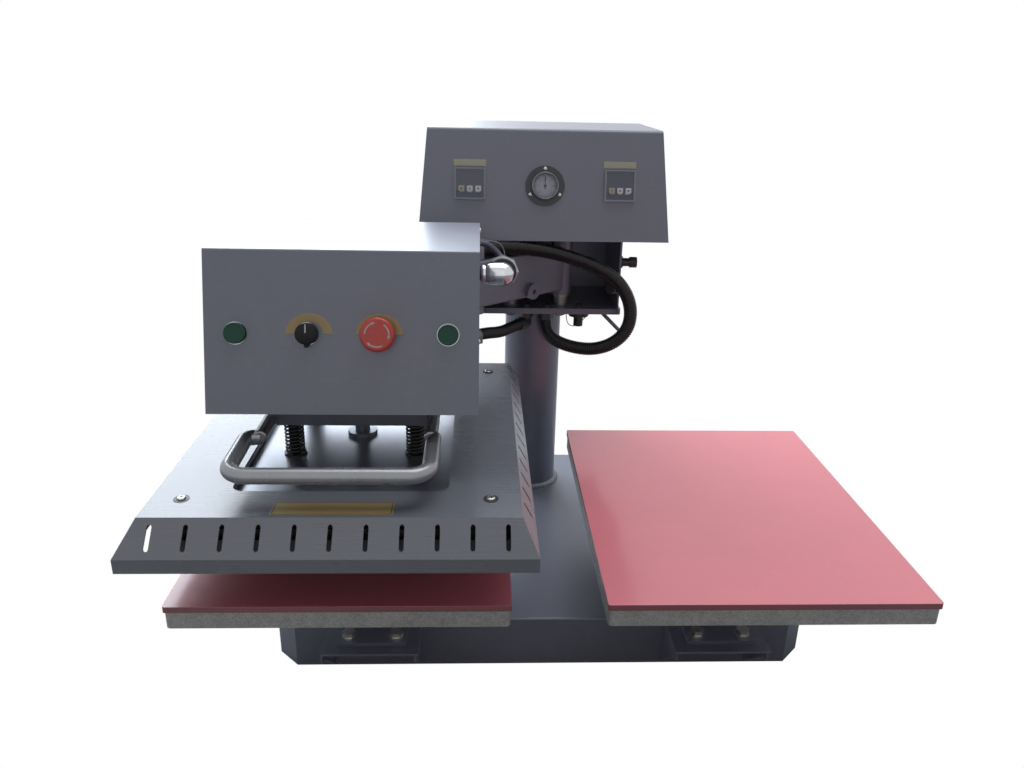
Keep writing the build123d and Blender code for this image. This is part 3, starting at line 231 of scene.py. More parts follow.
def stretch(tree, scale):
    """The object's own coordinates, stretched by a scale for each axis."""
    coords = node(tree, "ShaderNodeTexCoord")
    mapping = node(tree, "ShaderNodeMapping")
    mapping.inputs["Scale"].default_value = scale
    tree.links.new(coords.outputs["Object"], mapping.inputs["Vector"])
    return mapping.outputs["Vector"]


def surface_group():
    """Speckle, grain and cloudy change of a finish: puts out a colour, a roughness and a normal."""
    g, gin, gout = new_group("finish_surface", (
        ("NodeSocketColor", "Colour", (0.5, 0.5, 0.5, 1)),
        ("NodeSocketFloat", "Speckle", 0.1),
        ("NodeSocketFloat", "Speckle Scale", 2500.0),
        ("NodeSocketFloat", "Cloud", 0.06),
        ("NodeSocketFloat", "Cloud Scale", 9.0),
        ("NodeSocketFloat", "Roughness", 0.4),
        ("NodeSocketFloat", "Rough Change", 0.08),
        ("NodeSocketFloat", "Bump", 0.05),
    ), (("NodeSocketColor", "Colour"), ("NodeSocketFloat", "Roughness"), ("NodeSocketVector", "Normal")))
    vector = stretch(g, (1, 1, 1))
    fine = noise(g, vector, gin.outputs["Speckle Scale"], 2.0)
    cloud = noise(g, vector, gin.outputs["Cloud Scale"], 4.0, 0.6)
    fine_part = sums(g, "MULTIPLY", sums(g, "SUBTRACT", fine, 0.5), gin.outputs["Speckle"])
    cloud_part = sums(g, "MULTIPLY", sums(g, "SUBTRACT", cloud, 0.5), gin.outputs["Cloud"])
    gain = sums(g, "ADD", sums(g, "ADD", fine_part, cloud_part), 1.0)
    scale = node(g, "ShaderNodeVectorMath", operation="SCALE")
    g.links.new(gin.outputs["Colour"], scale.inputs[0])
    g.links.new(gain, scale.inputs["Scale"])
    g.links.new(scale.outputs[0], gout.inputs["Colour"])
    change = sums(g, "MULTIPLY", sums(g, "SUBTRACT", cloud, 0.5), gin.outputs["Rough Change"])
    g.links.new(sums(g, "ADD", gin.outputs["Roughness"], change, True), gout.inputs["Roughness"])
    bump = node(g, "ShaderNodeBump")
    bump.inputs["Distance"].default_value = 0.0002
    g.links.new(gin.outputs["Bump"], bump.inputs["Strength"])
    g.links.new(fine, bump.inputs["Height"])
    g.links.new(bump.outputs[0], gout.inputs["Normal"])
    return g


def brushed_group():
    """Long fine streaks along X with a little broad change: puts out a factor round 1 and a height."""
    g, gin, gout = new_group("brushed_streaks", (
        ("NodeSocketFloat", "Strength", 0.15),
    ), (("NodeSocketFloat", "Factor"), ("NodeSocketFloat", "Height")))
    streak = noise(g, stretch(g, (6, 900, 900)), 1.0, 3.0, 0.6)
    part = sums(g, "MULTIPLY", sums(g, "SUBTRACT", streak, 0.5), gin.outputs["Strength"])
    g.links.new(sums(g, "ADD", part, 1.0), gout.inputs["Factor"])
    g.links.new(streak, gout.inputs["Height"])
    return g


def wear_group():
    """Dust and rub marks: soft blotches at two sizes, as a mask from 0 to 1."""
    g, gin, gout = new_group("handled_marks", (
        ("NodeSocketFloat", "Scale", 30.0),
        ("NodeSocketFloat", "Amount", 0.3),
    ), (("NodeSocketFloat", "Mask"),))
    vector = stretch(g, (1, 1, 1))
    broad = noise(g, vector, gin.outputs["Scale"], 5.0, 0.65)
    fine = noise(g, vector, sums(g, "MULTIPLY", gin.outputs["Scale"], 7.0), 3.0, 0.6)
    both = sums(g, "MULTIPLY", broad, fine)
    ramp = node(g, "ShaderNodeMapRange")
    ramp.inputs["From Min"].default_value = 0.26
    ramp.inputs["From Max"].default_value = 0.42
    g.links.new(both, ramp.inputs["Value"])
    g.links.new(sums(g, "MULTIPLY", ramp.outputs[0], gin.outputs["Amount"]), gout.inputs["Mask"])
    return g


FINISH = surface_group()
STREAKS = brushed_group()
MARKS = wear_group()


def finish(name, colour, metallic, roughness, speckle=0.1, speckle_scale=2500, cloud=0.06, cloud_scale=9,
           rough_change=0.1, bump=0.05, streak=0.0, marks=None, coat=0.0, specular=0.5, sheen=0.0):
    """A material whose colour, roughness and grain come from the shared groups; marks are (colour, scale, amount)."""
    m = bpy.data.materials.new(name)
    m.use_nodes = True
    tree = m.node_tree
    shader = tree.nodes["Principled BSDF"]
    shader.inputs["Metallic"].default_value = metallic
    shader.inputs["Coat Weight"].default_value = coat
    shader.inputs["Coat Roughness"].default_value = 0.15
    shader.inputs["Specular IOR Level"].default_value = specular
    shader.inputs["Sheen Weight"].default_value = sheen
    g = node(tree, "ShaderNodeGroup", node_tree=FINISH)
    g.inputs["Colour"].default_value = (*colour, 1)
    for label, value in (("Speckle", speckle), ("Speckle Scale", speckle_scale), ("Cloud", cloud),
                         ("Cloud Scale", cloud_scale), ("Roughness", roughness), ("Rough Change", rough_change),
                         ("Bump", bump)):
        g.inputs[label].default_value = value
    colour_out = g.outputs["Colour"]
    rough_out = g.outputs["Roughness"]
    if streak:
        s = node(tree, "ShaderNodeGroup", node_tree=STREAKS)
        s.inputs["Strength"].default_value = streak
        scale = node(tree, "ShaderNodeVectorMath", operation="SCALE")
        tree.links.new(colour_out, scale.inputs[0])
        tree.links.new(s.outputs["Factor"], scale.inputs["Scale"])
        colour_out = scale.outputs[0]
        rough_out = sums(tree, "MULTIPLY", rough_out, s.outputs["Factor"])
    if marks:
        k = node(tree, "ShaderNodeGroup", node_tree=MARKS)
        k.inputs["Scale"].default_value = marks[1]
        k.inputs["Amount"].default_value = marks[2]
        mix = node(tree, "ShaderNodeMix", data_type="RGBA")
        tree.links.new(k.outputs["Mask"], mix.inputs["Factor"])
        tree.links.new(colour_out, mix.inputs[6])
        mix.inputs[7].default_value = (*marks[0], 1)
        colour_out = mix.outputs[2]
    tree.links.new(colour_out, shader.inputs["Base Color"])
    tree.links.new(rough_out, shader.inputs["Roughness"])
    tree.links.new(g.outputs["Normal"], shader.inputs["Normal"])
    return m


box_paint = finish("grey_blue_satin_paint", (0.212, 0.222, 0.278), 0.12, 0.34, speckle=0.5, speckle_scale=3200,
                   cloud=0.14, streak=0.10, marks=((0.28, 0.28, 0.30), 22, 0.18), bump=0.08)
cover_paint = finish("silver_satin_sheet", (0.215, 0.225, 0.255), 0.05, 0.28, speckle=0.35, speckle_scale=3000,
                     cloud=0.12, streak=0.14, marks=((0.20, 0.20, 0.20), 26, 0.22), bump=0.06)
handle_paint = finish("silver_tube_paint", (0.32, 0.325, 0.34), 0.50, 0.28, speckle=0.3, cloud=0.1,
                      marks=((0.22, 0.21, 0.20), 60, 0.35), bump=0.05)
aluminium = finish("cast_aluminium", (0.36, 0.35, 0.34), 0.6, 0.5, speckle=0.9, speckle_scale=420, cloud=0.45,
                   cloud_scale=60, rough_change=0.25, marks=((0.22, 0.21, 0.20), 75, 0.5), bump=0.5)
bright_steel = finish("zinc_plated_steel", (0.52, 0.51, 0.48), 0.95, 0.3, speckle=0.25, cloud=0.2, cloud_scale=90,
                      marks=((0.30, 0.27, 0.20), 140, 0.3), bump=0.06)
chrome = finish("polished_chrome", (0.31, 0.32, 0.34), 1.0, 0.08, speckle=0.04, cloud=0.05, cloud_scale=60,
                rough_change=0.1, bump=0.0)
bronze = finish("sintered_bronze", (0.45, 0.30, 0.13), 0.9, 0.4, speckle=0.5, speckle_scale=1800, cloud=0.2,
                bump=0.15)
silicone = finish("red_silicone_foam", (0.92, 0.225, 0.270), 0.0, 0.42, speckle=0.14, speckle_scale=900, cloud=0.14,
                  cloud_scale=14, bump=0.12, coat=0.75, specular=0.5)
black_rubber = finish("black_rubber", (0.02, 0.02, 0.021), 0.0, 0.7, speckle=0.4, speckle_scale=700, cloud=0.3,
                      marks=((0.10, 0.09, 0.08), 60, 0.3), bump=0.2)
black_plastic = finish("black_moulded_plastic", (0.018, 0.018, 0.022), 0.0, 0.42, speckle=0.5, speckle_scale=1500,
                       cloud=0.3, cloud_scale=40, marks=((0.07, 0.07, 0.07), 90, 0.25), bump=0.15)
# Black spring steel; the cover's screw recesses also use it, as painted shade.
spring_steel_and_recess_shade = finish("black_spring_steel", (0.028, 0.027, 0.028), 0.4, 0.42, speckle=0.4, cloud=0.4, cloud_scale=120,
                      marks=((0.12, 0.11, 0.10), 160, 0.3), bump=0.12)
conduit_black = finish("black_corrugated_conduit", (0.014, 0.013, 0.015), 0.0, 0.30, speckle=0.3, cloud=0.3,
                       cloud_scale=60, bump=0.05, specular=0.28)
red_plastic = finish("glossy_red_plastic", (0.70, 0.030, 0.018), 0.0, 0.28, speckle=0.08, cloud=0.1, cloud_scale=60,
                     marks=((0.70, 0.12, 0.09), 90, 0.2), bump=0.03, coat=0.3)
green_plastic = finish("dark_green_plastic", (0.012, 0.082, 0.052), 0.0, 0.35, speckle=0.15, cloud=0.15,
                       cloud_scale=70, bump=0.03, specular=0.25)
board = finish("glass_fibre_board", (0.60, 0.56, 0.46), 0.0, 0.8, speckle=0.5, speckle_scale=600, cloud=0.2, bump=0.4)
yellow_plate = finish("yellow_printed_plate", (0.48, 0.355, 0.155), 0.0, 0.42, speckle=0.15, cloud=0.15,
                      cloud_scale=70, marks=((0.40, 0.30, 0.12), 120, 0.25), bump=0.04, coat=0.2)
# Dark print, also used for the painted shade in the screws' slots.
dark_print_and_slot_shade = finish("dark_print_and_slot_shade", (0.03, 0.03, 0.03), 0.0, 0.5, speckle=0.2, cloud=0.2, bump=0.02)
white_print = finish("white_print", (0.75, 0.75, 0.73), 0.0, 0.45, speckle=0.1, cloud=0.1, bump=0.02)
dial_white = finish("dial_white", (0.66, 0.70, 0.82), 0.0, 0.4, speckle=0.06, cloud=0.06, bump=0.01)
window_dark = finish("tinted_window", (0.036, 0.048, 0.102), 0.0, 0.16, speckle=0.1, cloud=0.2, cloud_scale=40,
                     marks=((0.07, 0.07, 0.08), 90, 0.2), bump=0.0, coat=0.5)
case_grey = finish("controller_case", (0.36, 0.38, 0.44), 0.0, 0.45, speckle=0.2, cloud=0.15, bump=0.05)
key_white = finish("key_white", (0.90, 0.92, 0.96), 0.0, 0.4, speckle=0.1, cloud=0.12, cloud_scale=200, bump=0.03)
key_yellow = finish("key_yellow", (0.62, 0.60, 0.48), 0.0, 0.4, speckle=0.1, cloud=0.12, cloud_scale=200, bump=0.03)
weld_steel = finish("painted_weld", (0.22, 0.23, 0.26), 0.35, 0.45, speckle=0.5, speckle_scale=1200, cloud=0.3,
                    cloud_scale=120, marks=((0.45, 0.40, 0.33), 90, 0.4), bump=0.5)
red_wire = finish("red_wire", (0.50, 0.03, 0.03), 0.0, 0.4, speckle=0.1, cloud=0.2, bump=0.02)
bezel_black = finish("bezel_black", (0.03, 0.03, 0.036), 0.0, 0.38, speckle=0.3, cloud=0.3, cloud_scale=60,
                    marks=((0.10, 0.10, 0.10), 120, 0.25), bump=0.06)
pale_label = finish("pale_yellow_label", (0.62, 0.59, 0.44), 0.0, 0.42, speckle=0.15, cloud=0.15, cloud_scale=70,
                    bump=0.03)
band_grey = finish("controller_band", (0.10, 0.12, 0.18), 0.0, 0.3, speckle=0.1, cloud=0.15, bump=0.02)
bezel_steel = finish("bezel_steel", (0.12, 0.12, 0.135), 0.9, 0.25, speckle=0.15, cloud=0.15, cloud_scale=60,
                     bump=0.02)
dull_steel = finish("dull_turned_steel", (0.20, 0.20, 0.205), 0.85, 0.42, speckle=0.3, cloud=0.3, cloud_scale=80,
                    bump=0.08)
# Painted shade: the heater platen and its insulating board, seen through the cover's slots, are coloured nearly black
# so that the slots look shaded all through.
platen_painted_shade = finish("aluminium_painted_shade", (0.055, 0.054, 0.054), 0.4, 0.6, speckle=0.6, speckle_scale=500,
                        cloud=0.4, bump=0.2)
board_painted_shade = finish("insulating_board_painted_shade", (0.060, 0.056, 0.050), 0.0, 0.85, speckle=0.4, speckle_scale=600,
                    cloud=0.2, bump=0.3)
satin_plate = finish("satin_clamp_plate", (0.22, 0.23, 0.27), 0.55, 0.30, speckle=0.3, speckle_scale=2200, cloud=0.15,
                     bump=0.06)
elbow_chrome = finish("elbow_nickel", (0.58, 0.59, 0.62), 1.0, 0.16, speckle=0.06, cloud=0.12, cloud_scale=70,
                      bump=0.02)
nut_nickel = finish("nut_nickel", (0.34, 0.35, 0.38), 0.9, 0.38, speckle=0.15, cloud=0.15, cloud_scale=70, bump=0.03)
tube_grey = finish("grey_smooth_tube", (0.10, 0.10, 0.135), 0.0, 0.3, speckle=0.15, cloud=0.2, cloud_scale=40,
                   bump=0.02)
knob_black = finish("matt_black_knob", (0.016, 0.014, 0.016), 0.0, 0.5, speckle=0.3, speckle_scale=1500, bump=0.05,
                    specular=0.2)
pale_wire = finish("pale_wire", (0.34, 0.35, 0.38), 0.0, 0.4, speckle=0.1, cloud=0.2, bump=0.02)


# Painted shade on the red pads' sides: below their top the colour is scaled down to this share.
EDGE_SHADE = 0.32
EDGE_FROM, EDGE_TO = 0.0009, 0.0002


def paint_shade_on_sides(material, top):
    """Paints shade on a foam sheet's sides: the colour falls between two depths just below its top height, so the
    sides come out darker than the top.
    """
    tree = material.node_tree
    shader = tree.nodes["Principled BSDF"]
    colour = shader.inputs["Base Color"].links[0].from_socket
    coords = node(tree, "ShaderNodeTexCoord")
    parts = node(tree, "ShaderNodeSeparateXYZ")
    tree.links.new(coords.outputs["Object"], parts.inputs[0])
    height = node(tree, "ShaderNodeMapRange")
    height.inputs["From Min"].default_value = top - EDGE_FROM
    height.inputs["From Max"].default_value = top - EDGE_TO
    height.inputs["To Min"].default_value = EDGE_SHADE
    tree.links.new(parts.outputs["Z"], height.inputs["Value"])
    scale = node(tree, "ShaderNodeVectorMath", operation="SCALE")
    tree.links.new(colour, scale.inputs[0])
    tree.links.new(height.outputs[0], scale.inputs["Scale"])
    tree.links.new(scale.outputs[0], shader.inputs["Base Color"])


# The red pads' sides get painted shade; their tops keep the full colour.
paint_shade_on_sides(silicone, float(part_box("silicone_pads")[1][2]))


def clear_glass():
    """A thin clear lens: see-through, with a gloss that grows towards its rim."""
    m = finish("clear_lens", (0.9, 0.93, 0.95), 0.0, 0.05, speckle=0.02, cloud=0.03, bump=0.0)
    shader = m.node_tree.nodes["Principled BSDF"]
    shader.inputs["Alpha"].default_value = 0.07
    shader.inputs["IOR"].default_value = 1.49
    return m


lens = clear_glass()

BY_SLOT = {
    "box_paint": box_paint, "cover_paint": cover_paint, "handle_paint": handle_paint, "bare_aluminium": aluminium,
    "bright_steel": bright_steel, "chrome": chrome, "brass": bronze, "red_silicone": silicone,
    "black_rubber": black_rubber, "black_plastic": black_plastic, "black_steel": spring_steel_and_recess_shade,
    "red_plastic": red_plastic, "green_plastic": green_plastic, "lens": lens, "board": board,
    "white_plastic": key_white, "yellow_plastic": key_yellow,
}
BY_NODE = {
    "temperature_controller": case_grey, "timer_controller": case_grey, "gauge_case": bezel_black,
    "gauge_needle": dark_print_and_slot_shade, "guide_rods": spring_steel_and_recess_shade, "clamp_plate": satin_plate, "piston_rod": satin_plate,
    # The platen and board inside the slots take the painted shade.
    "base_pivot_pins": dull_steel, "heater_platen": platen_painted_shade, "insulating_board": board_painted_shade,
    "head_pivot_pins": dull_steel,
}
for part in frame["record"]["subparts"]:
    obj = frame["nodes"][part["node"]]
    material = BY_NODE.get(part["node"], BY_SLOT[part["material_slot"]])
    obj.data.materials.clear()
    obj.data.materials.append(material)


# Camera: angles in degrees, place in metres, focal length and width in pixels
CAMERA_YAW, CAMERA_PITCH, CAMERA_ROLL = 2.508, 20.768, 1.265
CAMERA_AT = (-0.0968, -1.2360, 0.8077)
FOCAL_PIXELS = 815.0
WIDTH_PIXELS = 1024.0
SENSOR_MM = 36.0


def place_camera():
    """The camera where the photograph was taken: yaw to the right, pitch down, then roll about its own line."""
    yaw, pitch, roll = (math.radians(v) for v in (CAMERA_YAW, CAMERA_PITCH, CAMERA_ROLL))
    fwd = Vector((math.sin(yaw) * math.cos(pitch), math.cos(yaw) * math.cos(pitch), -math.sin(pitch)))
    right = Vector((math.cos(yaw), -math.sin(yaw), 0))
    up = right.cross(fwd)
    r2 = right * math.cos(roll) + up * math.sin(roll)
    u2 = up * math.cos(roll) - right * math.sin(roll)
    data = bpy.data.cameras.new("camera")
    data.sensor_width = SENSOR_MM
    data.lens = FOCAL_PIXELS / WIDTH_PIXELS * SENSOR_MM
    data.clip_end = 50.0
    cam = bpy.data.objects.new("camera", data)
    rows = [(r2[k], u2[k], -fwd[k], CAMERA_AT[k]) for k in range(3)]
    cam.matrix_world = Matrix((*rows, (0, 0, 0, 1)))
    bpy.context.scene.collection.objects.link(cam)
    bpy.context.scene.camera = cam


place_camera()


# Corrugated conduits
CONDUIT_R = 0.011
FEEDER_R = 0.0095
RIB_PITCH = 0.0036
RIB_DEPTH = 0.0009
SADDLE_END = 0.190
GLAND = (0.017, 0.1105)
FEEDER_GLAND = np.array((-0.017, 0.1105, 0))
FEEDER_OUT = 0.022
HEAD_GLAND_Y = -0.094


def on_arm(s, side, z):
    """A point at s along the right arm from its pivot, and to its front by side."""
    p = PIVOT + ARM_DIR * s + ARM_SIDE * side
    return (p[0], p[1], z)


def route_line(name, points):
    """The smooth line of a route: a spline with the points as its control points, read as a row of points."""
    curve = bpy.data.curves.new(name + "_route", "CURVE")
    curve.dimensions = "3D"
    curve.resolution_u = 24
    spline = curve.splines.new("NURBS")
    spline.points.add(len(points) - 1)
    for q, p in zip(spline.points, points):
        q.co = (*p, 1)
    spline.order_u = 3
    spline.use_endpoint_u = True
    obj = bpy.data.objects.new(name + "_route", curve)
    bpy.context.scene.collection.objects.link(obj)
    bpy.context.view_layer.update()
    mesh = bpy.data.meshes.new_from_object(obj)
    line = np.empty(len(mesh.vertices) * 3)
    mesh.vertices.foreach_get("co", line)
    bpy.data.objects.remove(obj)
    bpy.data.meshes.remove(mesh)
    bpy.data.curves.remove(curve)
    return line.reshape(-1, 3)


def evenly(line, step):
    """Points at even steps along a line, and their distances from its start."""
    gaps = np.linalg.norm(np.diff(line, axis=0), axis=1)
    along = np.concatenate(((0,), np.cumsum(gaps)))
    s = np.linspace(0, along[-1], max(int(round(along[-1] / step)), 8))
    return np.stack([np.interp(s, along, line[:, k]) for k in range(3)], -1), s


ASLANT = (0.3, 0.2, 0.9)


def frames_along(line):
    """Two directions square to a line at each point, carried along it without twist."""
    t = np.gradient(line, axis=0)
    t /= np.linalg.norm(t, axis=1)[:, None]
    u = np.cross(t[0], ASLANT)
    u /= np.linalg.norm(u)
    rows = []
    for k in range(len(line)):
        u = u - t[k] * np.dot(u, t[k])
        u /= np.linalg.norm(u)
        rows.append(u)
    u = np.array(rows)
    return u, np.cross(t, u)


def tube_along(line, radius, sides):
    """A tube whose radius is given at each point of a line: line + r (u cos a + v sin a)."""
    u, v = frames_along(line)
    a = np.linspace(0, 2 * np.pi, sides, endpoint=False)
    ring = u[:, None, :] * np.cos(a)[None, :, None] + v[:, None, :] * np.sin(a)[None, :, None]
    p = line[:, None, :] + ring * np.asarray(radius)[:, None, None]
    points, faces = sheet_of(p, wrap_cols=True)
    rows = len(line)
    caps = [tuple(range(sides))[::-1], tuple(range((rows - 1) * sides, rows * sides))]
    return points, faces + caps


def plain_tube(name, points, step, radius, sides, body, material):
    """A smooth tube or wire of one radius along a route."""
    line, _ = evenly(route_line(name, points), step)
    add_piece(name, [tube_along(line, np.full(len(line), radius), sides)], body, material, merge=False)


def conduit(name, points, radius, cad_node):
    """A ribbed tube: its radius swells and falls once for each rib, as a soft square wave along the line."""
    line, s = evenly(route_line(name, points), RIB_PITCH / 8)
    wave = np.tanh(3.0 * np.sin(2 * np.pi * s / RIB_PITCH)) / math.tanh(3.0)
    r = radius - RIB_DEPTH / 2 + RIB_DEPTH / 2 * wave
    obj = add_piece(name, [tube_along(line, r, 28)], None, conduit_black, merge=False)
    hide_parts(cad_node)
    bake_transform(obj)
    length = float(np.linalg.norm(np.diff(line, axis=0), axis=1).sum())
    if length < 12 * radius:
        return obj
    return obj


loop_route = [
    (*GLAND, 0.418), (*GLAND, 0.404), (0.0225, 0.1075, 0.3905), (0.037, 0.100, 0.3795),
    (0.062, 0.087, 0.374), (0.092, 0.073, 0.3745), (0.118, 0.062, 0.384), (0.138, 0.055, 0.400),
    (0.150, 0.052, 0.420), (0.153, 0.051, 0.442), (0.149, 0.050, 0.464), (0.139, 0.049, 0.484),
    (0.124, 0.047, 0.502), (0.104, 0.045, 0.516), (0.076, 0.044, 0.529), (0.040, 0.042, 0.541),
    (0.002, 0.040, 0.5495), (-0.034, 0.037, 0.5533), (-0.064, 0.032, 0.5546), on_arm(0.166, 0, RUN_Z),
    on_arm(SADDLE_END, 0, RUN_Z),
]
tail_route = [
    on_arm(SADDLE_END, 0, RUN_Z), on_arm(0.258, 0, RUN_Z), on_arm(0.276, 0, 0.562), on_arm(0.295, 0, 0.577),
    (TAIL_X + 0.006, -0.0650, 0.584), (TAIL_X, -0.0780, TAIL_Z), (TAIL_X, HEAD_GLAND_Y, TAIL_Z),
]
feeder_out = np.array(on_arm(0.168, 0, 0)) - FEEDER_GLAND
feeder_out /= np.linalg.norm(feeder_out)


def from_feeder(s, z):
    """A point at s from the axis of the elbow gland, along its outlet."""
    p = FEEDER_GLAND + feeder_out * s
    return (p[0], p[1], z)


feeder_route = [
    from_feeder(FEEDER_OUT, 0.411), from_feeder(0.038, 0.411), from_feeder(0.070, 0.409), on_arm(0.168, 0, FEEDER_Z),
    on_arm(SADDLE_END, 0, FEEDER_Z),
]
feeder_tail_route = [
    on_arm(SADDLE_END, 0, FEEDER_Z), on_arm(0.240, 0, FEEDER_Z), on_arm(0.290, 0, FEEDER_TAIL_Z),
    (TAIL_X, -0.0750, FEEDER_TAIL_Z), (TAIL_X, HEAD_GLAND_Y, FEEDER_TAIL_Z),
]


conduit("conduit_loop_ribs", loop_route, CONDUIT_R, "conduit_loop")
conduit("conduit_tail_ribs", tail_route, CONDUIT_R, "conduit_tail")
conduit("feeder_loop_ribs", feeder_route, FEEDER_R, "feeder_loop")
conduit("feeder_tail_ribs", feeder_tail_route, FEEDER_R, "feeder_tail")

# Return springs: four coils drawn where the CAD springs stand, between the head at the top and the press at the
# bottom
SPRING_WIRE = 0.003
SPRING_R = 0.0112
SPRING_TURNS = 9


def return_springs():
    """Four helices, R cos a and R sin a rising with the turn a, evenly apart from a closed turn at each end."""
    low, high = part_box("return_springs")
    turn = np.linspace(0, SPRING_TURNS, SPRING_TURNS * 32 + 1)
    a = 2 * np.pi * turn
    z0 = low[2] + SPRING_WIRE / 2
    z1 = high[2] - SPRING_WIRE / 2
    z = np.interp(turn, (0, 1, SPRING_TURNS - 1, SPRING_TURNS),
                  (z0, z0 + SPRING_WIRE * 1.1, z1 - SPRING_WIRE * 1.1, z1))
    reach = SPRING_R + SPRING_WIRE / 2
    surfaces = []
    for x in (low[0] + reach, high[0] - reach):
        for y in (low[1] + reach, high[1] - reach):
            line = np.stack((x + SPRING_R * np.cos(a), y + SPRING_R * np.sin(a), z), -1)
            surfaces.append(tube_along(line, np.full(len(line), SPRING_WIRE / 2), 12))
    obj = add_piece("return_spring_coils", surfaces, None, spring_steel_and_recess_shade, merge=False)
    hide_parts("return_springs")
    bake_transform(obj)


return_springs()

# Plates, prints and small screws of the control panel
CONTROLLERS = ((-0.1163, "temperature"), (0.1163, "timer"))
KEY_Y = 0.0782
KEY_TOP = 0.0070
KEY_STEP = 0.0129
MARK_TALL = 0.0002


# Each plate's name, height on the panel, outline (width, height, corner), low, high, slot and finish
CONTROLLER_PLATES = (
    ("plate", 0.1174, (0.0500, 0.0098, 0.0008), 0.0, 0.0007, "yellow_plastic", pale_label),
    ("window", 0.0926, (0.0460, 0.0380, 0.0012), 0.0040, 0.0045, "black_plastic", window_dark),
    ("band", 0.0687, (0.0460, 0.0094, 0.0012), 0.0040, 0.0044, "black_plastic", band_grey),
)


def controller_front(x, word):
    """The label, the tinted front with its band, and the three keys with their marks."""
    for part, y, outline, low, high, slot, material in CONTROLLER_PLATES:
        add_piece(f"{word}_{part}", [pad_of(PANEL, x, y, rounded_outline(*outline), low, high)], "base",
                  material, smooth=False)
    for k, shape in ((-1, 0), (0, 1), (1, -1)):
        kx = x + KEY_STEP * k
        key = f"{word}_key_{k + 2}"
        material = key_yellow if k < 0 else key_white
        slot = "yellow_plastic" if k < 0 else "white_plastic"
        add_piece(key + "_cap", [pad_of(PANEL, kx, KEY_Y, rounded_outline(0.0090, 0.0080, 0.0011), KEY_TOP - 0.0012,
                                        KEY_TOP, 0.0004)], key, material, smooth=False)
        if shape == 0:
            mark = ring_sector(PANEL, kx, KEY_Y, 0.0013, 0.0020, 0, 340, KEY_TOP, KEY_TOP + MARK_TALL, 0.00003, 24)
        else:
            tri = np.array(((-0.0018, -0.0012), (0.0018, -0.0012), (0.0, 0.0017))) * (1, shape)
            mark = pad_of(PANEL, kx, KEY_Y, tri if shape > 0 else tri[::-1], KEY_TOP, KEY_TOP + MARK_TALL, 0.00003)
        add_piece(key + "_mark", [mark], key, dark_print_and_slot_shade, smooth=False)


for x, word in CONTROLLERS:
    controller_front(x, word)

DIAL_Y = 0.084
DIAL_Z = 0.00432
DIAL_START = 225
DIAL_END = -45
TICK_R = 0.0162
NUMBER_R = 0.0121
PRINT_TOP = DIAL_Z + 0.00008
FLANGE_SCREW_R = 0.0262
add_piece("dial_face", [turned(PANEL, 0, DIAL_Y, (
    (0.0002, DIAL_Z), (0.0182, DIAL_Z), (0.0184, DIAL_Z - 0.0001)), 64)], "base", dial_white)
ticks = []
for k in range(31):
    a = math.radians(DIAL_START - 9 * k)
    r1 = TICK_R
    r0, half = (r1 - 0.0030, 0.00026) if k % 5 == 0 else (r1 - 0.0016, 0.00014)
    across = np.array((-math.sin(a), math.cos(a))) * half
    out = np.array((math.cos(a), math.sin(a)))
    quad = np.array((out * r0 - across, out * r1 - across, out * r1 + across, out * r0 + across))
    ticks.append(pad_of(PANEL, 0, DIAL_Y, quad, DIAL_Z, PRINT_TOP, 0.00001))
for r0, r1 in ((0.0160, 0.0163), (0.0095, 0.0097)):
    ticks.append(ring_sector(PANEL, 0, DIAL_Y, r0, r1, DIAL_END, DIAL_START, DIAL_Z, PRINT_TOP, 0.00001, 64))
add_piece("dial_marks", ticks, "base", dark_print_and_slot_shade, smooth=False)


def dial_numbers():
    """Plain numbers round the dial, made into one mesh."""
    surfaces = []
    for k in range(7):
        a = math.radians(DIAL_START - 45 * k)
        text = bpy.data.curves.new("number", "FONT")
        text.body = str(2 * k)
        text.size = 0.0034
        text.align_x = "CENTER"
        text.align_y = "CENTER"
        obj = bpy.data.objects.new("number", text)
        bpy.context.scene.collection.objects.link(obj)
        bpy.context.view_layer.update()
        mesh = bpy.data.meshes.new_from_object(obj)
        co = np.empty(len(mesh.vertices) * 3)
        mesh.vertices.foreach_get("co", co)
        co = co.reshape(-1, 3) + (NUMBER_R * math.cos(a), DIAL_Y + NUMBER_R * math.sin(a), DIAL_Z + 0.00009)
        surfaces.append((on(PANEL, co), [tuple(p.vertices) for p in mesh.polygons]))
        bpy.data.objects.remove(obj)
        bpy.data.meshes.remove(mesh)
        bpy.data.curves.remove(text)
    add_piece("dial_numbers", surfaces, "base", dark_print_and_slot_shade, smooth=False, merge=False)


dial_numbers()
add_piece("gauge_bright_ring", [turned(PANEL, 0, DIAL_Y, (
    (0.0184, 0.0088), (0.0186, 0.0092), (0.0193, 0.0095), (0.0204, 0.0094), (0.0211, 0.0088), (0.0217, 0.0082),
    (0.0217, 0.0078), (0.0214, 0.0078)), 96)], "base", bezel_steel)


BAR_LONG, BAR_WIDE = 0.62, 0.1


def pan_screw(where, x, y, base, r, tall, slots):
    """A domed screw head: r cos t, base + tall sin t, with raised bars over its recess that are coloured dark as
    painted shade.
    """
    t = np.linspace(0, math.pi / 2, 8)
    profile = [(r, base)] + [(r * math.cos(v), base + tall * (0.35 + 0.65 * math.sin(v))) for v in t[:-1]]
    profile.append((0.00002, base + tall))
    head = turned(where, x, y, profile, 28)
    bars = []
    for a in slots:
        c, s = math.cos(a), math.sin(a)
        bar = np.array(((-1, -1), (1, -1), (1, 1), (-1, 1))) * (BAR_LONG * r, BAR_WIDE * r)
        bar = bar @ np.array(((c, s), (-s, c)))
        bars.append(pad_of(where, x, y, bar, base + tall * 0.8, base + tall * 1.01, 0.00002))
    return head, bars


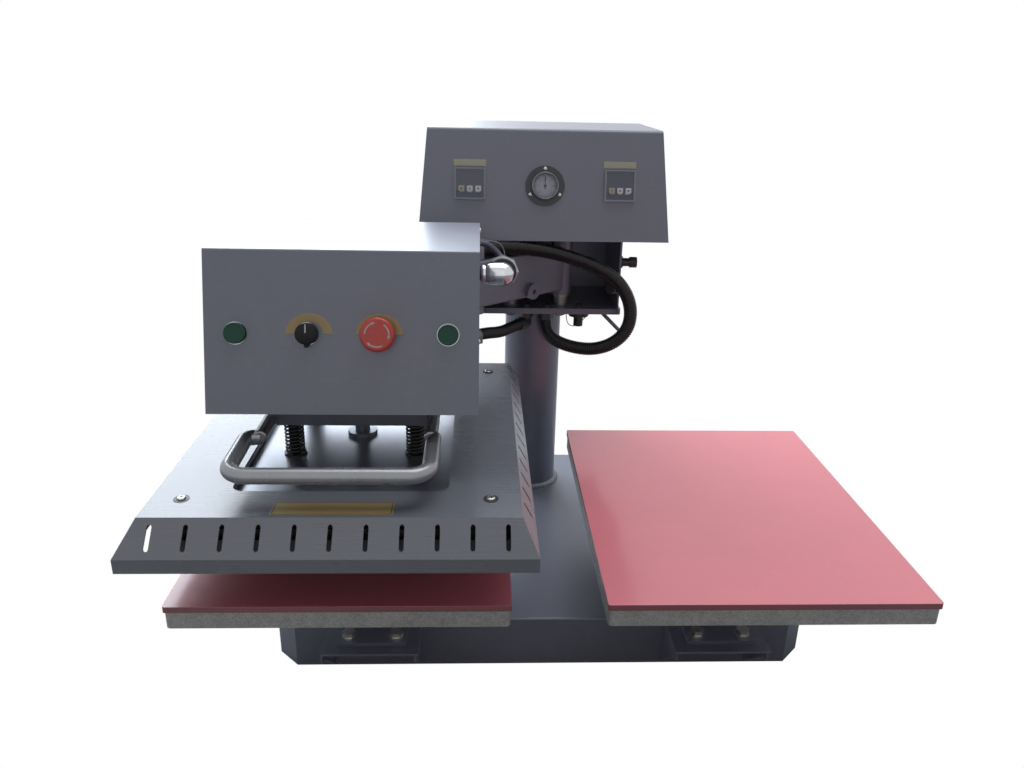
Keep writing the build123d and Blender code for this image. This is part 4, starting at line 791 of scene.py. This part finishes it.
gauge_heads = []
gauge_bars = []
for k, angle in enumerate((90, 210, 330)):
    a = math.radians(angle)
    head, bars = pan_screw(PANEL, FLANGE_SCREW_R * math.cos(a), DIAL_Y + FLANGE_SCREW_R * math.sin(a), 0.003, 0.0027,
                           0.0016, (0.4 + k,))
    gauge_heads.append(head)
    gauge_bars.extend(bars)
add_piece("gauge_flange_screws", gauge_heads, "base", bright_steel)
# Painted shade: dark bars in the screws' slots stand in for the shade in the recess.
add_piece("gauge_screw_slot_shade", gauge_bars, "base", dark_print_and_slot_shade, smooth=False)

# Head controls: legend plates, the selector's cap and line, the stop's arrows, the start buttons' rims
SELECTOR_X = -0.040
STOP_X = 0.042
START_X = 0.122
LEGEND_FLAT = 0.87
FLAT_FRONT = FRONT * np.array((1.0, LEGEND_FLAT, 1.0, 1.0))[:, None]
for name, x in (("selector_legend", -0.0380), ("stop_legend", 0.0427)):
    add_piece(name, [ring_sector(FLAT_FRONT, x, 0, 0.0160, 0.0270, 0, 180, 0.0, 0.0008)], "head",
              yellow_plate, smooth=False)
KNOB_TOP = 0.0125
knob = add_piece("selector_cap", [
    turned(FRONT, SELECTOR_X, 0, ((0.0100, 0.0010), (0.0106, 0.0024), (0.0122, 0.0030), (0.0125, 0.0040),
                                  (0.0122, 0.0117), (0.0112, KNOB_TOP), (0.00002, KNOB_TOP)), 72),
    pad_of(FRONT, SELECTOR_X, -0.0128, rounded_outline(0.0046, 0.0060, 0.0020), 0.0040, 0.0100, 0.0006),
], "selector_knob", knob_black)
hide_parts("selector_knob")
add_piece("selector_line", [pad_of(FRONT, SELECTOR_X, 0.0060, rounded_outline(0.0016, 0.0100, 0.0007), KNOB_TOP,
                                   KNOB_TOP + 0.0003, 0.0001)],
          "selector_knob", white_print, smooth=False)


def stop_arrows():
    """Three curved arrows on the mushroom: bands round its axis, each ending clockwise in a triangle."""
    low, high = 0.0209, 0.0213
    sweep = 62
    surfaces = []
    for start in (176, 56, -64):
        surfaces.append(ring_sector(FRONT, STOP_X, 0, 0.0131, 0.0145, start - sweep, start, low, high, 0.0001, 24))
        a = math.radians(start - sweep)
        radial = np.array((math.cos(a), math.sin(a)))
        along = np.array((math.sin(a), -math.cos(a)))
        tri = np.array((radial * 0.0156, radial * 0.0121, radial * 0.0134 + along * 0.0042))
        surfaces.append(pad_of(FRONT, STOP_X, 0, tri, low, high, 0.00005))
    add_piece("stop_arrows", surfaces, "estop_button", white_print, smooth=False)


stop_arrows()
for side, x in (("left", -START_X), ("right", START_X)):
    add_piece(f"{side}_start_rim", [turned(FRONT, x, 0, (
        (0.0098, 0.0065), (0.0101, 0.0068), (0.0116, 0.0066), (0.0121, 0.0060), (0.0121, 0.0048),
        (0.0110, 0.0048)), 64)], f"{side}_start_button", green_plastic)

# Elbow fitting on the head's right side: its outlet points back
ELBOW = np.array((-0.0640, -0.1220, 0.5490))
ELBOW_FRONT = plane(ELBOW, (1, 0, 0), (0, -1, 0))
ELBOW_BACK = plane(ELBOW, (-1, 0, 0), (0, 1, 0))
ELBOW_R = 0.0158
WALL_X = -0.0964
WALL_RIGHT = plane((WALL_X, ELBOW[1], ELBOW[2]), (0, 1, 0), (1, 0, 0))
WIRE_R = 0.0007


def elbow_fitting():
    """Collar, tube and dome of the elbow, with an eight-sided nut behind: the dome is R cos t out, R sin t ahead."""
    reach = ELBOW[0] - WALL_X
    t = np.linspace(0, math.pi / 2, 14)
    dome = [(ELBOW_R, -0.004)] + [(ELBOW_R * math.cos(v), ELBOW_R * math.sin(v)) for v in t[:-1]]
    dome.append((0.00004, ELBOW_R))
    collar = turned(WALL_RIGHT, 0, 0, ((0.0070, 0.0), (0.0100, 0.0), (0.0102, 0.0022), (0.0120, 0.0024),
                                       (0.0125, 0.0030), (0.0125, 0.0082), (0.0120, 0.0088), (0.0070, 0.0088)), 64)
    tube = turned(WALL_RIGHT, 0, 0, ((0.0128, 0.0088), (0.0140, 0.0098), (0.0150, reach * 0.45),
                                     (ELBOW_R, reach * 0.72), (ELBOW_R, reach)), 64)
    back = turned(ELBOW_BACK, 0, 0, ((ELBOW_R, 0.0), (ELBOW_R, 0.0106)), 64)
    seal = turned(ELBOW_BACK, 0, 0, ((0.0150, 0.0080), (0.0180, 0.0084), (0.0192, 0.0100), (0.0192, 0.0120)), 64)
    add_piece("elbow_seal", [seal], "head", black_rubber)
    body = add_piece("elbow_body", [collar, tube, turned(ELBOW_FRONT, 0, 0, dome, 64), back], "head",
                     elbow_chrome)
    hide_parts("air_elbow")
    nut = turned(ELBOW_BACK, 0, 0, ((0.0172, 0.0108), (0.0196, 0.0104), (0.0226, 0.0122), (0.0226, 0.0200),
                                    (0.0200, 0.0216), (0.0050, 0.0216)), 8)
    add_piece("elbow_nut", [nut], "head", nut_nickel, smooth=False)
    plain_tube("elbow_tube", [
        (-0.0640, -0.1010, 0.5500), (-0.0620, -0.0880, 0.5520), (-0.0630, -0.0760, 0.5570),
        (-0.0680, -0.0690, 0.5640), (-0.0760, -0.0670, 0.5720), (-0.0850, -0.0670, 0.5790),
        (-0.1000, -0.0710, 0.5820), (-0.1150, -0.0800, 0.5820), (-0.1180, -0.0930, 0.5820),
        (-0.1180, -0.1050, 0.5820)], 0.0015, 0.0045, 24, "head", tube_grey)
    plain_tube("elbow_wire", [
        (-0.0600, -0.0960, 0.5620), (-0.0610, -0.0900, 0.5700), (-0.0635, -0.0880, 0.5790),
        (-0.0695, -0.0880, 0.5855), (-0.0764, -0.0880, 0.5872), (-0.0863, -0.0880, 0.5878),
        (-0.0960, -0.0880, 0.5905), (-0.1060, -0.0900, 0.5920), (-0.1100, -0.0960, 0.5930),
        (-0.1100, -0.1050, 0.5930)], 0.0015, WIRE_R, 10, "head", pale_wire)


elbow_fitting()

# Screws that hold the head's rear cover, on the box's side walls
SIDE_RIGHT = plane((HEAD_X + 0.160, -0.1125, 0.525), (0, 1, 0), (1, 0, 0))
SIDE_LEFT = plane((HEAD_X - 0.156, -0.1125, 0.525), (0, -1, 0), (-1, 0, 0))
side_heads = []
side_bars = []
for where in (SIDE_RIGHT, SIDE_LEFT):
    for up, turn in ((0.0815, 0.5), (-0.0785, 1.1)):
        head, bars = pan_screw(where, 0, up, 0.0, 0.0038, 0.0022, (turn, turn + math.pi / 2))
        side_heads.append(head)
        side_bars.extend(bars)
add_piece("head_side_screws", side_heads, "head", bright_steel)
# Painted shade: dark bars in the screws' slots stand in for the shade in the recess.
add_piece("head_side_screw_slot_shade", side_bars, "head", dark_print_and_slot_shade, smooth=False)

# Thin red wire round the cable gland under the plate
plain_tube("gland_wire", [
    (0.0940, 0.1120, 0.4310), (0.0925, 0.1120, 0.4270), (0.0895, 0.1110, 0.4230), (0.0850, 0.1150, 0.4180),
    (0.0780, 0.1100, 0.4110), (0.0700, 0.1060, 0.4065), (0.0620, 0.1060, 0.4058), (0.0560, 0.1080, 0.4090),
    (0.0530, 0.1090, 0.4180), (0.0520, 0.1100, 0.4310),
], 0.0012, WIRE_R, 10, "base", red_wire)

# Cover: a plain strip with its border, and painted shade in the screws' recesses: a dark ring and cross at each screw
COVER_TOP = plane((HEAD_X, -0.1955, 0.353), (1, 0, 0), (0, 0, 1))
STRIP_X = -0.0010
STRIP_Y = -0.2368
SCREW_X = 0.1746
SCREW_Y = 0.214
strip_outline = rounded_outline(0.134, 0.0285, 0.001)
add_piece("cover_strip", [pad_of(COVER_TOP, STRIP_X, STRIP_Y, strip_outline, 0.0, 0.0004, 0.0001)],
          "press", yellow_plate, smooth=False)
border = []
for w, h, x, y in ((0.131, 0.0009, 0, 0.0128), (0.131, 0.0009, 0, -0.0128), (0.0009, 0.0265, -0.0651, 0),
                   (0.0009, 0.0265, 0.0651, 0)):
    border.append(pad_of(COVER_TOP, STRIP_X + x, STRIP_Y + y, rounded_outline(w, h, 0.0003), 0.0004, 0.0005, 0.00003))
add_piece("cover_strip_border", border, "press", dark_print_and_slot_shade, smooth=False)
recesses = []
for sx in (-1, 1):
    for sy in (-1, 1):
        _, bars = pan_screw(COVER_TOP, sx * SCREW_X, sy * SCREW_Y, 0.0, 0.0052, 0.0030, (0.3, 0.3 + math.pi / 2))
        recesses.extend(bars)
        recesses.append(turned(COVER_TOP, sx * SCREW_X, sy * SCREW_Y, (
            (0.0052, 0.0), (0.0088, 0.0), (0.0088, 0.0005), (0.0052, 0.0005)), 32))
# Dark ring and cross bars: painted shade in the screw recesses.
add_piece("cover_screw_recess_shade", recesses, "press", spring_steel_and_recess_shade, smooth=False)


# Weld bead
COLUMN_Y = 0.1765
BEAD_R, BEAD_OUT = 0.0492, 0.0072
BEAD_Z, BEAD_UP = 0.0832, 0.0070
RIPPLES = ((0.0003, 46, 0), (0.0002, 17, 1))


def weld_bead():
    """The bead at the column's foot: a ring of section R + out cos b, Z + up sin b, that swells at each ripple.

    Each ripple is a height, a count round the ring and a turn: tall sin(count a + turn).
    """
    a = np.linspace(0, 2 * np.pi, 240, endpoint=False)
    b = np.linspace(0, math.pi / 2, 9)
    ripple = sum(tall * np.sin(a * count + turn) for tall, count, turn in RIPPLES)
    r = BEAD_R + BEAD_OUT * np.cos(b)[None, :] + ripple[:, None] * np.cos(b)[None, :]
    z = BEAD_Z + BEAD_UP * np.sin(b)[None, :] + ripple[:, None] * np.sin(b)[None, :]
    p = np.stack((r * np.cos(a)[:, None], COLUMN_Y + r * np.sin(a)[:, None], z), -1)
    add_piece("column_weld_bead", [sheet_of(p, wrap_rows=True)], "base", weld_steel)


weld_bead()


# Light and surroundings
ROOM_FRONT = (0.15, 0.14, 0.14, 1)
ROOM_BACK = (0.78, 0.87, 1.0, 1)
ROOM_STRENGTH = 0.62
FLOOR_HALF = 3.0
FLOOR_Z = -0.0002


def surroundings():
    """A pale room for the lamps' fill, seen as white by the camera."""
    world = bpy.data.worlds.new("room")
    bpy.context.scene.world = world
    world.use_nodes = True
    tree = world.node_tree
    tree.nodes.clear()
    out = node(tree, "ShaderNodeOutputWorld")
    fill = node(tree, "ShaderNodeBackground")
    white = node(tree, "ShaderNodeBackground")
    white.inputs["Color"].default_value = (1, 1, 1, 1)
    white.inputs["Strength"].default_value = 1.0
    coords = node(tree, "ShaderNodeTexCoord")
    parts = node(tree, "ShaderNodeSeparateXYZ")
    tree.links.new(coords.outputs["Generated"], parts.inputs[0])
    back = node(tree, "ShaderNodeMapRange")
    back.inputs["From Min"].default_value = -0.6
    back.inputs["From Max"].default_value = 0.8
    tree.links.new(parts.outputs["Y"], back.inputs["Value"])
    ramp = node(tree, "ShaderNodeValToRGB")
    ramp.color_ramp.elements[0].color = ROOM_FRONT
    ramp.color_ramp.elements[1].color = ROOM_BACK
    tree.links.new(back.outputs[0], ramp.inputs[0])
    tree.links.new(ramp.outputs[0], fill.inputs["Color"])
    fill.inputs["Strength"].default_value = ROOM_STRENGTH
    mix = node(tree, "ShaderNodeMixShader")
    path = node(tree, "ShaderNodeLightPath")
    seen = sums(tree, "MAXIMUM", path.outputs["Is Camera Ray"], path.outputs["Is Transmission Ray"])
    seen = sums(tree, "MAXIMUM", seen, path.outputs["Is Glossy Ray"])
    tree.links.new(seen, mix.inputs[0])
    tree.links.new(fill.outputs[0], mix.inputs[1])
    tree.links.new(white.outputs[0], mix.inputs[2])
    tree.links.new(mix.outputs[0], out.inputs["Surface"])
    # Each lamp's name, place, aim, watts, size and tint
    for name, where, aim, power, size, tint in (
        ("window_light", (-0.9, 1.9, 1.7), (-0.1, -0.1, 0.3), 60, 1.8, (0.84, 0.92, 1.0)),
        ("ceiling_light", (0.2, 0.3, 2.6), (0.0, -0.1, 0.3), 24, 1.8, (0.93, 0.96, 1.0)),
        ("front_fill", (-0.6, -2.4, 1.4), (-0.1, -0.1, 0.35), 1.5, 2.0, (1.0, 0.97, 0.94)),
    ):
        data = bpy.data.lights.new(name, "AREA")
        data.energy = power
        data.size = size
        data.color = tint
        lamp = bpy.data.objects.new(name, data)
        lamp.location = where
        lamp.rotation_euler = (Vector(aim) - Vector(where)).to_track_quat("-Z", "Y").to_euler()
        bpy.context.scene.collection.objects.link(lamp)


def floor():
    """A pale floor that shows as white to the camera and keeps the object's shadow soft."""
    u = np.linspace(-FLOOR_HALF, FLOOR_HALF, 4)
    x, y = np.meshgrid(u, u, indexing="ij")
    p = np.stack((x, y, np.full_like(x, FLOOR_Z)), -1)
    points, faces = sheet_of(p)
    m = bpy.data.materials.new("floor_white")
    m.use_nodes = True
    tree = m.node_tree
    shader = tree.nodes["Principled BSDF"]
    shader.inputs["Base Color"].default_value = (0.55, 0.55, 0.54, 1)
    shader.inputs["Roughness"].default_value = 0.8
    out = tree.nodes["Material Output"]
    glow = node(tree, "ShaderNodeEmission")
    glow.inputs["Strength"].default_value = 1.0
    path = node(tree, "ShaderNodeLightPath")
    mix = node(tree, "ShaderNodeMixShader")
    tree.links.new(path.outputs["Is Camera Ray"], mix.inputs[0])
    tree.links.new(shader.outputs[0], mix.inputs[1])
    tree.links.new(glow.outputs[0], mix.inputs[2])
    tree.links.new(mix.outputs[0], out.inputs["Surface"])
    obj = add_piece("floor", [(points, faces)], None, m, smooth=False, merge=False)


surroundings()
floor()
bpy.context.scene.view_settings.view_transform = "Standard"
